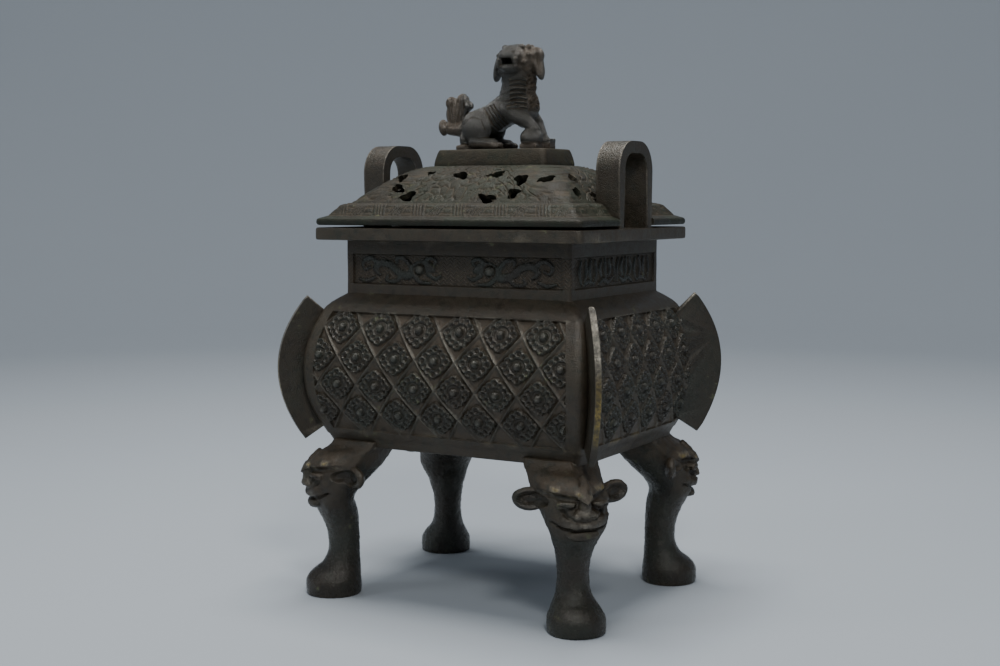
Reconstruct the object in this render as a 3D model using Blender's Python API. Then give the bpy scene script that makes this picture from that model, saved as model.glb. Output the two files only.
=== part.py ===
"""Lidded bronze incense burner on four mask legs, with a lion on its lid.

The long side runs along X and the front faces -Y. The origin is on the ground under the middle.
"""

import math

import bmesh
import bpy
from mathutils import Matrix, Vector

# Rim and mouth
rim_length = 0.162
rim_width = 0.132
rim_top = 0.202
rim_thickness = 0.0067
rim_corner = 0.003
mouth_wall = 0.0045

# Neck
neck_length = 0.1376
neck_width = 0.1064
neck_foot = 0.1665
neck_corner = 0.002
neck_panel_margin = 0.0045
neck_panel_low = 0.1715
neck_panel_high = 0.1878
neck_panel_depth = 0.0012

# Belly: half sizes are worked out from these lengths and widths at three levels
belly_foot = 0.0832
belly_foot_length = 0.151
belly_foot_width = 0.1166
belly_panel_low = 0.0925
belly_panel_high = 0.157
belly_edge_length = 0.1592
belly_edge_width = 0.1252
belly_swell_long = 0.0058
belly_swell_short = 0.0108
shoulder_slope = 0.35
belly_corner = 0.004
belly_panel_margin = 0.0085
belly_panel_depth = 0.001
belly_wall = 0.0045
panel_draft = 0.0004

# Diaper of quatrefoils on the belly
motif_pitch_long = 0.0245
motif_pitch_short = 0.0218
motif_first_row = 0.1502
motif_row_pitch = 0.0149
motif_rows = 4
motif_radius = 0.0099
motif_stretch = 0.88
motif_height = 0.0013
boss_radius = 0.0026
boss_height = 0.0022

# Corner blades
blade_thickness = 0.0036
blade_reach = 0.0166
blade_top = 0.165
blade_bottom = 0.0863
blade_tip_length = 0.1728
blade_tip_width = 0.1298
blade_angle = math.radians(39)

# Loop handles
handle_width = 0.0404
handle_depth = 0.0137
handle_top = 0.2474
handle_bar = 0.0063
handle_corner = 0.0155
handle_edge = 0.0012

# Legs
foot_spacing_long = 0.1516
foot_spacing_short = 0.117
leg_height = 0.0868

# Lid
lid_lift = 0.0013
lid_flange_thickness = 0.0036
lid_edge_inset = 0.0002
lid_band_width = 0.0138
lid_band_height = 0.0083
lid_wall = 0.0032
dome_height = 0.0201
dome_corner = 0.009
plinth_length = 0.0706
plinth_width = 0.0362
plinth_height = 0.0089
plinth_slope = 0.0026
plinth_edge = 0.001
handle_clearance = 0.0009
lug_length = 0.0150
lug_drop = 0.0050
lug_thickness = 0.0040
lug_offset = 0.0300
mouth_clearance = 0.0006
piece_gap = 0.0003

# Lion
lion_height = 0.0565

# The figure and the legs are drawn in units, which these sizes turn into metres
LION_DRAWN_HEIGHT = 56.5
LEG_DRAWN_HEIGHT = 86.8
DRAGON_DRAWN_HEIGHT = 16.3

SHARP_DEGREES = 32


def clear_scene():
    for old in list(bpy.data.objects):
        bpy.data.objects.remove(old, do_unlink=True)


def bronze(name, colour, roughness):
    material = bpy.data.materials.new(name)
    material.use_nodes = True
    shader = material.node_tree.nodes["Principled BSDF"]
    shader.inputs["Base Color"].default_value = (*colour, 1.0)
    shader.inputs["Metallic"].default_value = 0.6
    shader.inputs["Roughness"].default_value = roughness
    return material


def shade(mesh):
    """Smooth shading on round forms, with edges kept sharp where faces meet at an angle."""
    mesh.shade_smooth()
    mesh.set_sharp_from_angle(angle=math.radians(SHARP_DEGREES))


def new_object(name, bm, material=None, helper=False):
    bmesh.ops.recalc_face_normals(bm, faces=bm.faces)
    mesh = bpy.data.meshes.new(name)
    bm.to_mesh(mesh)
    bm.free()
    shade(mesh)
    made = bpy.data.objects.new(name, mesh)
    bpy.context.scene.collection.objects.link(made)
    if material:
        mesh.materials.append(material)
    if helper:
        made.hide_render = True
        made.display_type = "WIRE"
    return made


def boolean(target, operation, tool):
    modifier = target.modifiers.new(f"{operation.lower()} {tool.name}", "BOOLEAN")
    modifier.operation = operation
    modifier.solver = "EXACT"
    modifier.object = tool


def baked_mesh(source):
    """The object's mesh with its modifiers applied, and the object removed."""
    bpy.context.view_layer.update()
    graph = bpy.context.evaluated_depsgraph_get()
    mesh = bpy.data.meshes.new_from_object(source.evaluated_get(graph))
    bpy.data.objects.remove(source, do_unlink=True)
    shade(mesh)
    return mesh


def join_rings(bm, low, high):
    count = len(low)
    for i in range(count):
        j = (i + 1) % count
        bm.faces.new((low[i], low[j], high[j], high[i]))


def loft(bm, rings, close_first=True, close_last=True):
    """Joins rings of equal length with quads, closes the ends asked for, and returns the end rings."""
    levels = [[bm.verts.new(point) for point in ring] for ring in rings]
    for low, high in zip(levels, levels[1:]):
        join_rings(bm, low, high)
    if close_first:
        bm.faces.new(list(reversed(levels[0])))
    if close_last:
        bm.faces.new(levels[-1])
    return levels[0], levels[-1]


def slab(bm, outline, place, low, high):
    """A flat plate: a closed outline (u, v) between two depths w, put in space by place(u, v, w)."""
    bottom = [bm.verts.new(place(u, v, low)) for u, v in outline]
    top = [bm.verts.new(place(u, v, high)) for u, v in outline]
    count = len(outline)
    for i in range(count):
        j = (i + 1) % count
        bm.faces.new((bottom[i], bottom[j], top[j], top[i]))
    bm.faces.new(list(reversed(bottom)))
    bm.faces.new(top)


def box(bm, low, high):
    outline = [(low[0], low[1]), (high[0], low[1]), (high[0], high[1]), (low[0], high[1])]
    slab(bm, outline, lambda u, v, w: Vector((u, v, w)), low[2], high[2])


def blob(bm, centre, radii, turn=(0, 0, 0), subdivisions=3):
    """An ellipsoid, turned about X, Y and Z in degrees."""
    turned = Matrix.Identity(4)
    for degrees, axis in zip(turn, "XYZ"):
        turned = Matrix.Rotation(math.radians(degrees), 4, axis) @ turned
    matrix = Matrix.Translation(centre) @ turned @ Matrix.Diagonal((*radii, 1))
    bmesh.ops.create_icosphere(bm, subdivisions=subdivisions, radius=1, matrix=matrix)


def limb(bm, stations):
    """A round limb through stations (x, y, z, radius)."""
    for start, end in zip(stations, stations[1:]):
        a = Vector(start[:3])
        b = Vector(end[:3])
        steps = max(2, int((b - a).length / (0.35 * min(start[3], end[3]))))
        for i in range(steps + 1):
            share = i / steps
            radius = start[3] + (end[3] - start[3]) * share
            centre = a.lerp(b, share)
            blob(bm, centre, (radius, radius, radius), subdivisions=2)


def rounded_rectangle(half_x, half_y, corner, z, steps=2):
    """Points of a rectangle with rounded corners, counter-clockwise from the front right corner."""
    points = []
    for quarter in range(4):
        sign_x = (1, 1, -1, -1)[quarter]
        sign_y = (-1, 1, 1, -1)[quarter]
        centre_x = sign_x * (half_x - corner)
        centre_y = sign_y * (half_y - corner)
        for i in range(steps + 1):
            angle = math.radians(-90 + 90 * quarter + 90 * i / steps)
            points.append(
                Vector((centre_x + corner * math.cos(angle), centre_y + corner * math.sin(angle), z))
            )
    return points


def wall_ring(half_x, half_y, corner, z, margin, depth):
    """A level of the vessel's wall: a rounded rectangle whose four faces step in by depth."""
    ring = []
    corners = rounded_rectangle(half_x, half_y, corner, z)
    for side in range(4):
        angle = math.radians(-90 + 90 * side)
        outward = Vector((math.cos(angle), math.sin(angle), 0))
        along = Vector((-outward.y, outward.x, 0))
        half_face = (half_x, half_y)[side % 2] - margin
        distance = (half_y, half_x)[side % 2]
        level = Vector((0, 0, z))
        for sign in (-1, 1):
            edge = [
                (half_face + panel_draft, 0),
                (half_face, depth),
            ]
            for reach, sunk in edge[::-sign]:
                ring.append(outward * (distance - sunk) + along * sign * reach + level)
        ring.extend(corners[3 * side : 3 * side + 3])
    return ring


def belly_half(z):
    """Half length and half width of the belly at height z, outside the panels."""
    if z <= belly_panel_low:
        share = (z - belly_foot) / (belly_panel_low - belly_foot)
        half_x = belly_foot_length + (belly_edge_length - belly_foot_length) * share
        half_y = belly_foot_width + (belly_edge_width - belly_foot_width) * share
        return half_x / 2, half_y / 2
    if z <= belly_panel_high:
        middle = (belly_panel_low + belly_panel_high) / 2
        swell = 1 - ((z - middle) / (belly_panel_high - middle)) ** 2
        half_x = belly_edge_length / 2 + belly_swell_long * swell
        return half_x, belly_edge_width / 2 + belly_swell_short * swell
    share = (z - belly_panel_high) / (neck_foot - belly_panel_high)
    rounded = 1 - math.cos(share * math.pi / 2)
    share_in = shoulder_slope * share + (1 - shoulder_slope) * rounded
    half_x = belly_edge_length + (neck_length - belly_edge_length) * share_in
    half_y = belly_edge_width + (neck_width - belly_edge_width) * share_in
    return half_x / 2, half_y / 2


def make_belly():
    """The hollow belly up to the foot of the neck, outside and inside in one surface."""
    rings = []

    def outer(z, sunk=0.0):
        half_x, half_y = belly_half(z)
        rings.append(wall_ring(half_x, half_y, belly_corner, z, belly_panel_margin, sunk))

    outer(belly_foot)
    outer(belly_panel_low)
    outer(belly_panel_low + panel_draft, belly_panel_depth)
    for row in reversed(range(motif_rows)):
        outer(motif_first_row - motif_row_pitch * row, belly_panel_depth)
    outer(belly_panel_high - panel_draft, belly_panel_depth)
    outer(belly_panel_high)
    outer((belly_panel_high + 2 * neck_foot) / 3)
    half_x = neck_length / 2
    half_y = neck_width / 2
    for wall, corner in ((0, belly_corner), (mouth_wall, neck_corner)):
        rings.append(
            wall_ring(
                half_x - wall, half_y - wall, corner, neck_foot - piece_gap, belly_panel_margin, 0
            )
        )
    inner_floor = belly_foot + belly_wall
    inner_levels = 3
    for i in range(inner_levels + 1):
        z = belly_panel_high - belly_wall / 2 + (inner_floor - belly_panel_high) * i / inner_levels
        z = max(z, inner_floor)
        wide_x, wide_y = belly_half(z)
        rings.append(
            wall_ring(
                wide_x - belly_wall, wide_y - belly_wall, belly_corner, z, belly_panel_margin, 0
            )
        )
    bm = bmesh.new()
    loft(bm, rings)
    return bm


def make_neck():
    """The straight neck and the rim, open above and below."""
    rings = []
    half_x = neck_length / 2
    half_y = neck_width / 2
    for z, sunk in (
        (neck_foot, 0),
        (neck_panel_low, 0),
        (neck_panel_low + panel_draft, neck_panel_depth),
        (neck_panel_high - panel_draft, neck_panel_depth),
        (neck_panel_high, 0),
        (rim_top - rim_thickness, 0),
    ):
        rings.append(wall_ring(half_x, half_y, neck_corner, z, neck_panel_margin, sunk))
    bevel = rim_thickness / 6
    low = rim_top - rim_thickness
    for z, inset in ((low, bevel), (low + bevel, 0), (rim_top - bevel, 0), (rim_top, bevel)):
        rings.append(
            wall_ring(
                rim_length / 2 - inset, rim_width / 2 - inset, rim_corner, z, neck_panel_margin, 0
            )
        )
    for z in (rim_top, neck_foot):
        rings.append(
            wall_ring(
                half_x - mouth_wall, half_y - mouth_wall, neck_corner, z, neck_panel_margin, 0
            )
        )
    bm = bmesh.new()
    first, last = loft(bm, rings, close_first=False, close_last=False)
    join_rings(bm, last, first)
    return bm


def face_frame(side, z_of, distance_of):
    """Places (u, v, w) on one side of the body: u along it, v a height and w out of it."""
    angle = math.radians(-90 + 90 * side)
    outward = Vector((math.cos(angle), math.sin(angle), 0))
    along = Vector((-outward.y, outward.x, 0))

    def place(u, v, w):
        z = z_of(v)
        step = 0.0005
        slope = (distance_of(z + step) - distance_of(z - step)) / (2 * step)
        normal = (outward - Vector((0, 0, slope))).normalized()
        base = outward * distance_of(z) + along * u + Vector((0, 0, z))
        return base + normal * w

    return place


def belly_place(side):
    def distance(z):
        inside = min(max(z, belly_panel_low), belly_panel_high)
        half_x, half_y = belly_half(inside)
        return (half_y, half_x)[side % 2] - belly_panel_depth

    return face_frame(side, lambda v: v, distance)


def add_quatrefoil(bm, place, u, v):
    """One motif: a raised plate of four broad lobes with notches between them and a pointed boss."""

    outward = place(u, v, 1) - place(u, v, 0)

    def spot(degrees, radius, w):
        angle = math.radians(degrees)
        across = radius * math.cos(angle)
        up = radius * math.sin(angle) * motif_stretch
        return bm.verts.new(place(u + across, v + up, 0) + outward * w)

    lobe_half_angle = 22
    notch_share = 0.76
    sunk = -1.3 * belly_panel_depth
    foot = []
    top = []
    collar = []
    for lobe in range(4):
        turn = 90 * lobe
        outline = (
            (turn - lobe_half_angle, motif_radius),
            (turn + lobe_half_angle, motif_radius),
            (turn + 45, notch_share * motif_radius),
        )
        for degrees, radius in outline:
            foot.append(spot(degrees, radius, sunk))
            top.append(spot(degrees, radius, motif_height))
        collar.append(spot(turn, boss_radius, motif_height))
    crown = bm.verts.new(place(u, v, motif_height + boss_height))
    join_rings(bm, foot, top)
    for lobe in range(4):
        first, second, notch = top[3 * lobe : 3 * lobe + 3]
        after = (lobe + 1) % 4
        bm.faces.new((first, second, collar[lobe]))
        bm.faces.new((second, notch, collar[lobe]))
        bm.faces.new((notch, top[3 * after], collar[after]))
        bm.faces.new((notch, collar[after], collar[lobe]))
        bm.faces.new((collar[lobe], collar[after], crown))
    bm.faces.new(list(reversed(foot)))


def make_diaper():
    """Staggered rows of quatrefoils on all four sides."""
    bm = bmesh.new()
    for side in range(4):
        face = (belly_edge_length, belly_edge_width)[side % 2] / 2 - belly_panel_margin
        pitch = (motif_pitch_long, motif_pitch_short)[side % 2]
        place = belly_place(side)
        per_row = int((2 * face + pitch) / pitch + 0.1)
        for row in range(motif_rows):
            v = motif_first_row - motif_row_pitch * row
            copies = per_row - row % 2
            for column in range(copies):
                u = pitch * (column - (copies - 1) / 2)
                add_quatrefoil(bm, place, u, v)
    return bm


def ribbon_outline(points, widths):
    """The two sides of a ribbon along points (u, v), as one closed outline."""
    left = []
    right = []
    last = len(points) - 1
    for i, (point, width) in enumerate(zip(points, widths)):
        before = Vector(points[max(i - 1, 0)])
        after = Vector(points[min(i + 1, last)])
        run = (after - before).normalized()
        across = Vector((-run.y, run.x)) * width / 2
        spot = Vector(point)
        left.append(tuple(spot + across))
        right.append(tuple(spot - across))
    return left + right[::-1]


def make_neck_relief():
    """Two confronted dragons on each long side of the neck, and a pair of scrolls on the short ones.

    The bodies and the forelegs that cross them are two meshes, because they overlap.
    """
    meshes = (bmesh.new(), bmesh.new())
    panel_high = neck_panel_high - neck_panel_low
    middle = (neck_panel_high + neck_panel_low) / 2
    unit = panel_high / DRAGON_DRAWN_HEIGHT
    dragon_body = [(16, 3), (22, 1), (29, -4), (36, 2), (44, 3.5), (48, -3), (43, -6)]
    dragon_widths = [5, 9, 6, 5, 4.5, 4, 2.5]
    dragon_leg = [(20, -1), (15, -6.5), (10, -3)]
    leg_widths = [4, 3.5, 2]
    scroll = [(4, -6.5), (8, 0), (15, 4), (17, -4), (24, -5), (26, 4)]
    scroll_widths = [3, 4, 4.5, 4, 4.5, 2.5]
    for side in range(4):
        distance = (neck_width, neck_length)[side % 2] / 2 - neck_panel_depth
        place = face_frame(side, lambda v: middle + v, lambda z: distance)
        figures = (
            ((dragon_body, dragon_widths), (dragon_leg, leg_widths)),
            ((scroll, scroll_widths),),
        )[side % 2]
        for mirror in (-1, 1):
            for rank, (points, widths) in enumerate(figures):
                outline = ribbon_outline(
                    [(mirror * u * unit, v * unit) for u, v in points], [w * unit for w in widths]
                )
                height = neck_panel_depth * (1.0 - 0.15 * rank)
                slab(meshes[rank], outline, place, -0.5 * neck_panel_depth, height)
    return meshes


def arc_between(start, bulge, end, steps):
    """Points of the smooth curve from start to end that passes through bulge (a quadratic)."""
    a, b, c = Vector(start), Vector(bulge), Vector(end)
    control = 2 * b - (a + c) / 2
    points = []
    for i in range(steps + 1):
        t = i / steps
        points.append(tuple((1 - t) ** 2 * a + 2 * t * (1 - t) * control + t**2 * c))
    return points


def make_blades():
    """Four crescents by the belly's corners, rooted in its short walls, their tips free."""
    bm = bmesh.new()
    middle = (blade_top + blade_bottom) / 2
    tall = blade_top - blade_bottom
    outline = arc_between(
        (0.0, blade_top),
        (blade_reach, middle + 0.04 * tall),
        (0.3 * blade_reach, middle - 0.45 * tall),
        8,
    )
    outline.append((0.13 * blade_reach, blade_bottom))
    for share in (-0.38, -0.2, 0.0, 0.22, 0.36):
        z = middle + share * tall
        wall_middle = belly_half(z)[0] - belly_wall / 2
        outline.append(((wall_middle - blade_tip_length / 2) / math.sin(blade_angle), z))
    for sign_x in (-1, 1):
        for sign_y in (-1, 1):
            tip = Vector((sign_x * blade_tip_length / 2, sign_y * blade_tip_width / 2, 0))
            outward = Vector((sign_x * math.sin(blade_angle), sign_y * math.cos(blade_angle), 0))
            across = Vector((-outward.y, outward.x, 0))

            def place(u, v, w):
                return tip + outward * u + across * w + Vector((0, 0, v))

            slab(bm, outline, place, -blade_thickness / 2, blade_thickness / 2)
    return bm


def arch_outline(half, low, high, corner, steps=3):
    """An upright shape with a flat foot and rounded top corners."""
    outline = [(-half, low), (half, low)]
    for centre, first in ((half - corner, 0), (-half + corner, 90)):
        for i in range(steps + 1):
            angle = math.radians(first + 90 * i / steps)
            outline.append(
                (centre + corner * math.cos(angle), high - corner + corner * math.sin(angle))
            )
    return outline


def make_handle(sign):
    """An inverted U loop, flush with the rim's short edge and cast with it."""
    bm = bmesh.new()
    outer_face = rim_length / 2 - rim_thickness / 6
    half = handle_width / 2
    foot = rim_top + piece_gap
    outer = arch_outline(half, foot, handle_top, handle_corner)
    inner = arch_outline(
        half - handle_bar, foot, handle_top - handle_bar, handle_corner - handle_bar
    )
    levels = ((0, handle_edge), (handle_edge, 0), (handle_depth - handle_edge, 0))
    levels += ((handle_depth, handle_edge),)
    loops = []
    for depth, round_off in levels:
        x = sign * (outer_face - depth)
        outside = [(u - math.copysign(round_off, u), v) for u, v in outer]
        inside = [(u + math.copysign(round_off, u), v) for u, v in inner]
        outside = [(u, v - round_off * (v > foot)) for u, v in outside]
        inside = [(u, v + round_off * (v > foot)) for u, v in inside]
        loops.append([[bm.verts.new((x, u, v)) for u, v in ring] for ring in (outside, inside)])
    for near, far in zip(loops, loops[1:]):
        for ring in range(2):
            for i in range(1, len(outer)):
                j = (i + 1) % len(outer)
                bm.faces.new((near[ring][i], near[ring][j], far[ring][j], far[ring][i]))
        for i in (0, 1):
            bm.faces.new((near[0][i], near[1][i], far[1][i], far[0][i]))
    for outside, inside in (loops[0], loops[-1]):
        for i in range(1, len(outer)):
            j = (i + 1) % len(outer)
            bm.faces.new((outside[i], outside[j], inside[j], inside[i]))
    return bm


def leg_ring(front, back, half, squareness, aside, z, count):
    """A level of the leg: an oval that turns into a diamond under the belly's corner."""
    middle = (front + back) / 2
    deep = (front - back) / 2
    ring = []
    for i in range(count):
        angle = 2 * math.pi * i / count
        c = math.cos(angle)
        s = math.sin(angle)
        power = 2 / squareness
        x = middle + deep * math.copysign(abs(c) ** power, c)
        y = aside + half * math.copysign(abs(s) ** power, s)
        ring.append(Vector((x, y, z)))
    return ring


def make_leg_mesh():
    """One leg, facing +X: a shod foot, a thin ankle, and an animal mask under the belly's corner."""
    stations = (
        (-4.0, 14.3, -15.3, 14.6, 2.1, 0.0),
        (8.0, 14.6, -15.6, 14.8, 2.1, 0.0),
        (12.0, 12.0, -15.4, 12.8, 2.1, 0.0),
        (17.0, 5.8, -15.2, 10.0, 2.0, 0.0),
        (23.0, 2.7, -15.0, 8.5, 2.0, 0.0),
        (29.0, 2.1, -14.9, 8.1, 2.0, 0.0),
        (37.5, 3.6, -14.8, 9.0, 2.0, 0.0),
        (46.0, 7.6, -13.8, 11.5, 2.0, 0.0),
        (54.0, 11.0, -12.0, 15.0, 2.1, 0.0),
        (60.0, 12.2, -15.8, 16.8, 2.0, -0.6),
        (66.0, 12.0, -22.0, 18.0, 1.8, -1.4),
        (73.0, 11.5, -29.0, 19.0, 1.5, -2.4),
        (80.0, 8.6, -34.0, 19.5, 1.3, -3.0),
        (LEG_DRAWN_HEIGHT, 5.5, -38.0, 20.0, 1.2, -3.0),
    )
    bm = bmesh.new()
    loft(bm, [leg_ring(*station[1:], station[0], 24) for station in stations])
    blob(bm, (13.6, 0, 67.0), (3.4, 3.0, 7.4), turn=(0, -14, 0))
    blob(bm, (14.0, 0, 63.0), (3.8, 5.6, 3.0))
    blob(bm, (10.4, 0, 57.0), (4.4, 11.6, 2.6))
    blob(bm, (9.0, 0, 51.6), (3.6, 8.8, 2.8))
    blob(bm, (11.2, -0.6, 75.6), (3.4, 6.4, 3.6))
    for sign in (-1, 1):
        limb(bm, ((12.6, sign * 4, 72.6, 2.2), (9.6, sign * 11, 72.8, 2.1), (4, sign * 16, 71, 1.9)))
        blob(bm, (9.8, sign * 9.4, 67.0), (3.2, 4.4, 2.4), turn=(0, 0, sign * 28))
        blob(bm, (6.8, sign * 12.6, 60.0), (4.8, 4.6, 4.4))
        limb(bm, ((-3, sign * 15, 67, 3.0), (-7, sign * 19, 68.2, 3.0)))
        blob(bm, (-9.4, sign * 22.4, 68.6), (3.0, 7.4, 5.6), turn=(0, 0, sign * 20))
    leg = new_object("leg draft", bm, helper=True)
    remesh = leg.modifiers.new("fuse", "REMESH")
    remesh.mode = "VOXEL"
    remesh.voxel_size = 0.9
    smooth = leg.modifiers.new("soften", "SMOOTH")
    smooth.factor = 0.5
    smooth.iterations = 2
    reduce = leg.modifiers.new("facets", "DECIMATE")
    reduce.ratio = 0.011
    return baked_mesh(leg)


def make_legs(material):
    """The four legs, each turned outwards on its corner's diagonal and cut off at the belly."""
    mesh = make_leg_mesh()
    mesh.materials.append(material)
    unit = leg_height / LEG_DRAWN_HEIGHT
    ends = bmesh.new()
    wide = rim_length
    box(ends, (-wide, -wide, -leg_height), (wide, wide, 0))
    box(ends, (-wide, -wide, belly_foot - piece_gap), (wide, wide, 2 * belly_foot))
    cut = new_object("ground and belly", ends, helper=True)
    for place, sign_x, sign_y in (
        ("front_right", 1, -1),
        ("back_right", 1, 1),
        ("back_left", -1, 1),
        ("front_left", -1, -1),
    ):
        leg = bpy.data.objects.new(f"leg_{place}", mesh)
        bpy.context.scene.collection.objects.link(leg)
        leg.location = (sign_x * foot_spacing_long / 2, sign_y * foot_spacing_short / 2, 0)
        leg.rotation_euler = (0, 0, math.atan2(sign_y, sign_x))
        leg.scale = (unit, -sign_x * sign_y * unit, unit)
        boolean(leg, "DIFFERENCE", cut)


def make_vessel(material):
    """The one casting, as nodes parted at the neck, the handles' feet and the legs' tops."""
    belly = new_object("belly", make_belly(), material)
    boolean(belly, "UNION", new_object("diaper", make_diaper(), helper=True))
    boolean(belly, "UNION", new_object("blades", make_blades(), helper=True))
    neck = new_object("neck", make_neck(), material)
    bodies, forelegs = make_neck_relief()
    boolean(neck, "UNION", new_object("dragons and scrolls", bodies, helper=True))
    boolean(neck, "UNION", new_object("dragon forelegs", forelegs, helper=True))
    new_object("handle_right", make_handle(1), material)
    new_object("handle_left", make_handle(-1), material)
    make_legs(material)


def make_lid(material):
    """The pierced lid: flange, moulded band, dome and plinth, hollow underneath."""
    half_x = rim_length / 2 - lid_edge_inset
    half_y = rim_width / 2 - lid_edge_inset
    under = rim_top + lid_lift
    edge = lid_flange_thickness / 4
    flange_top = under + lid_flange_thickness
    rings = [
        rounded_rectangle(half_x - edge, half_y - edge, rim_corner, under),
        rounded_rectangle(half_x, half_y, rim_corner, under + edge),
        rounded_rectangle(half_x, half_y, rim_corner, flange_top - edge / 2),
    ]
    band = ((0.06, 0.0), (0.33, 0.17), (0.5, 0.5), (0.65, 0.84), (0.84, 0.98), (1.0, 1.0))
    for across, up in band:
        inset = lid_band_width * across
        z = flange_top + lid_band_height * up
        rings.append(rounded_rectangle(half_x - inset, half_y - inset, rim_corner, z))
    dome_x = half_x - lid_band_width
    dome_y = half_y - lid_band_width
    dome_foot = flange_top + lid_band_height

    def dome_ring(share, inset, lower):
        wide_x = dome_x + (plinth_length / 2 - dome_x) * share - inset
        wide_y = dome_y + (plinth_width / 2 - dome_y) * share - inset
        z = dome_foot + dome_height * (1 - (1 - share) ** 2) - lower
        corner = rim_corner + dome_corner * math.sin(math.pi * share)
        return rounded_rectangle(wide_x, wide_y, corner, z)

    for share in (0.12, 0.28, 0.46, 0.7, 1.0):
        rings.append(dome_ring(share, 0, 0))
    plinth_foot = dome_foot + dome_height
    plinth_top = plinth_foot + plinth_height
    for inset, z in (
        (plinth_slope - plinth_edge, plinth_top - plinth_edge),
        (plinth_slope, plinth_top),
    ):
        rings.append(
            rounded_rectangle(plinth_length / 2 - inset, plinth_width / 2 - inset, rim_corner, z)
        )
    hollow = plinth_slope + lid_wall
    inside = [
        rounded_rectangle(
            plinth_length / 2 - hollow, plinth_width / 2 - hollow, rim_corner / 2, plinth_top - lid_wall
        )
    ]
    for share in (1.0, 0.7, 0.46, 0.28, 0.12, 0.0):
        inside.append(dome_ring(share, lid_wall, lid_wall * (0.5 + 0.5 * share)))
    inside.append(rounded_rectangle(dome_x - lid_wall, dome_y - lid_wall, rim_corner, under))
    bm = bmesh.new()
    outer_foot, _ = loft(bm, rings, close_first=False)
    _, inner_foot = loft(bm, inside, close_last=False)
    join_rings(bm, outer_foot, inner_foot)
    lid = new_object("lid", bm, material)
    boolean(lid, "UNION", new_object("lugs", make_lugs(), helper=True))
    boolean(lid, "DIFFERENCE", new_object("handle notches", make_notches(), helper=True))
    for name, bm in zip(("long piercings", "short piercings"), make_piercings(dome_ring)):
        boolean(lid, "DIFFERENCE", new_object(name, bm, helper=True))


def make_lugs():
    """Four steps under the flange: each rests on the rim and hangs a tongue into the mouth."""
    bm = bmesh.new()
    mouth = neck_length / 2 - mouth_wall
    root = rim_top + lid_lift + lid_flange_thickness / 2
    tongue_out = mouth - mouth_clearance
    tongue_in = tongue_out - lug_thickness
    flange_inside = rim_length / 2 - lid_edge_inset - lid_band_width - lid_wall
    pad_out = max(mouth, flange_inside) + lug_thickness
    rest = rim_top + piece_gap
    for sign_x in (-1, 1):
        step = (
            (tongue_in, rim_top - lug_drop),
            (tongue_out, rim_top - lug_drop),
            (tongue_out, rest),
            (pad_out, rest),
            (pad_out, root),
            (tongue_in, root),
        )
        for sign_y in (-1, 1):
            middle = sign_y * lug_offset

            def place(u, v, w):
                return Vector((sign_x * u, middle + w, v))

            slab(bm, step, place, -lug_length / 2, lug_length / 2)
    return bm


def make_notches():
    """Room in the flange and the band for the two handles."""
    bm = bmesh.new()
    inner_face = rim_length / 2 - rim_thickness / 6 - handle_depth - handle_clearance
    half = handle_width / 2 + handle_clearance
    for sign in (-1, 1):
        xs = sorted((sign * inner_face, sign * rim_length))
        box(bm, (xs[0], -half, rim_top - rim_thickness), (xs[1], half, handle_top))
    return bm


def make_piercings(dome_ring):
    """Leaf-shaped smoke holes between the dome's scrolls: cutters for the long and the short sides."""
    cutters = (bmesh.new(), bmesh.new())
    long_side = (
        (-0.82, 0.46, 0.0044, 0.0030, 50),
        (-0.67, 0.22, 0.0046, 0.0028, 35),
        (-0.49, 0.09, 0.0046, 0.0034, -20),
        (-0.54, 0.56, 0.0026, 0.0018, 10),
        (-0.12, 0.49, 0.0050, 0.0032, 20),
        (0.30, 0.50, 0.0048, 0.0030, -15),
        (0.59, 0.38, 0.0048, 0.0036, 50),
        (0.52, 0.14, 0.0038, 0.0034, 60),
        (0.28, 0.06, 0.0062, 0.0030, 22),
        (0.86, 0.40, 0.0046, 0.0030, -40),
    )
    short_side = (
        (-0.60, 0.40, 0.0048, 0.0030, -30),
        (-0.72, 0.14, 0.0044, 0.0030, -40),
        (-0.36, 0.10, 0.0034, 0.0026, 10),
        (0.50, 0.38, 0.0046, 0.0030, 30),
    )
    for side in range(4):
        holes = (long_side, short_side)[side % 2]
        angle = math.radians(-90 + 90 * side)
        outward = Vector((math.cos(angle), math.sin(angle), 0))
        along = Vector((-outward.y, outward.x, 0))
        for across, share, length, width, tilt in holes:
            ring = dome_ring(share, 0, 0)
            above = dome_ring(min(share + 0.05, 1), 0, 0)
            half_face = max(point.dot(along) for point in ring)
            distance = max(point.dot(outward) for point in ring)
            next_distance = max(point.dot(outward) for point in above)
            slope = (above[0].z - ring[0].z) / (distance - next_distance)
            normal = (outward * slope + Vector((0, 0, 1))).normalized()
            uphill = normal.cross(along) * -1
            centre = outward * distance + along * across * half_face + Vector((0, 0, ring[0].z))
            turn = math.radians(tilt)
            outline = []
            for i in range(5):
                spin = 2 * math.pi * i / 5
                a = length * math.cos(spin)
                b = width * math.sin(spin) * (1.2 if i in (1, 4) else 0.9)
                outline.append(
                    (a * math.cos(turn) - b * math.sin(turn), a * math.sin(turn) + b * math.cos(turn))
                )

            def place(u, v, w):
                return centre + along * u + uphill * v + normal * w

            slab(cutters[side % 2], outline, place, -2.2 * lid_wall, lid_wall)
    return cutters


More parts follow.
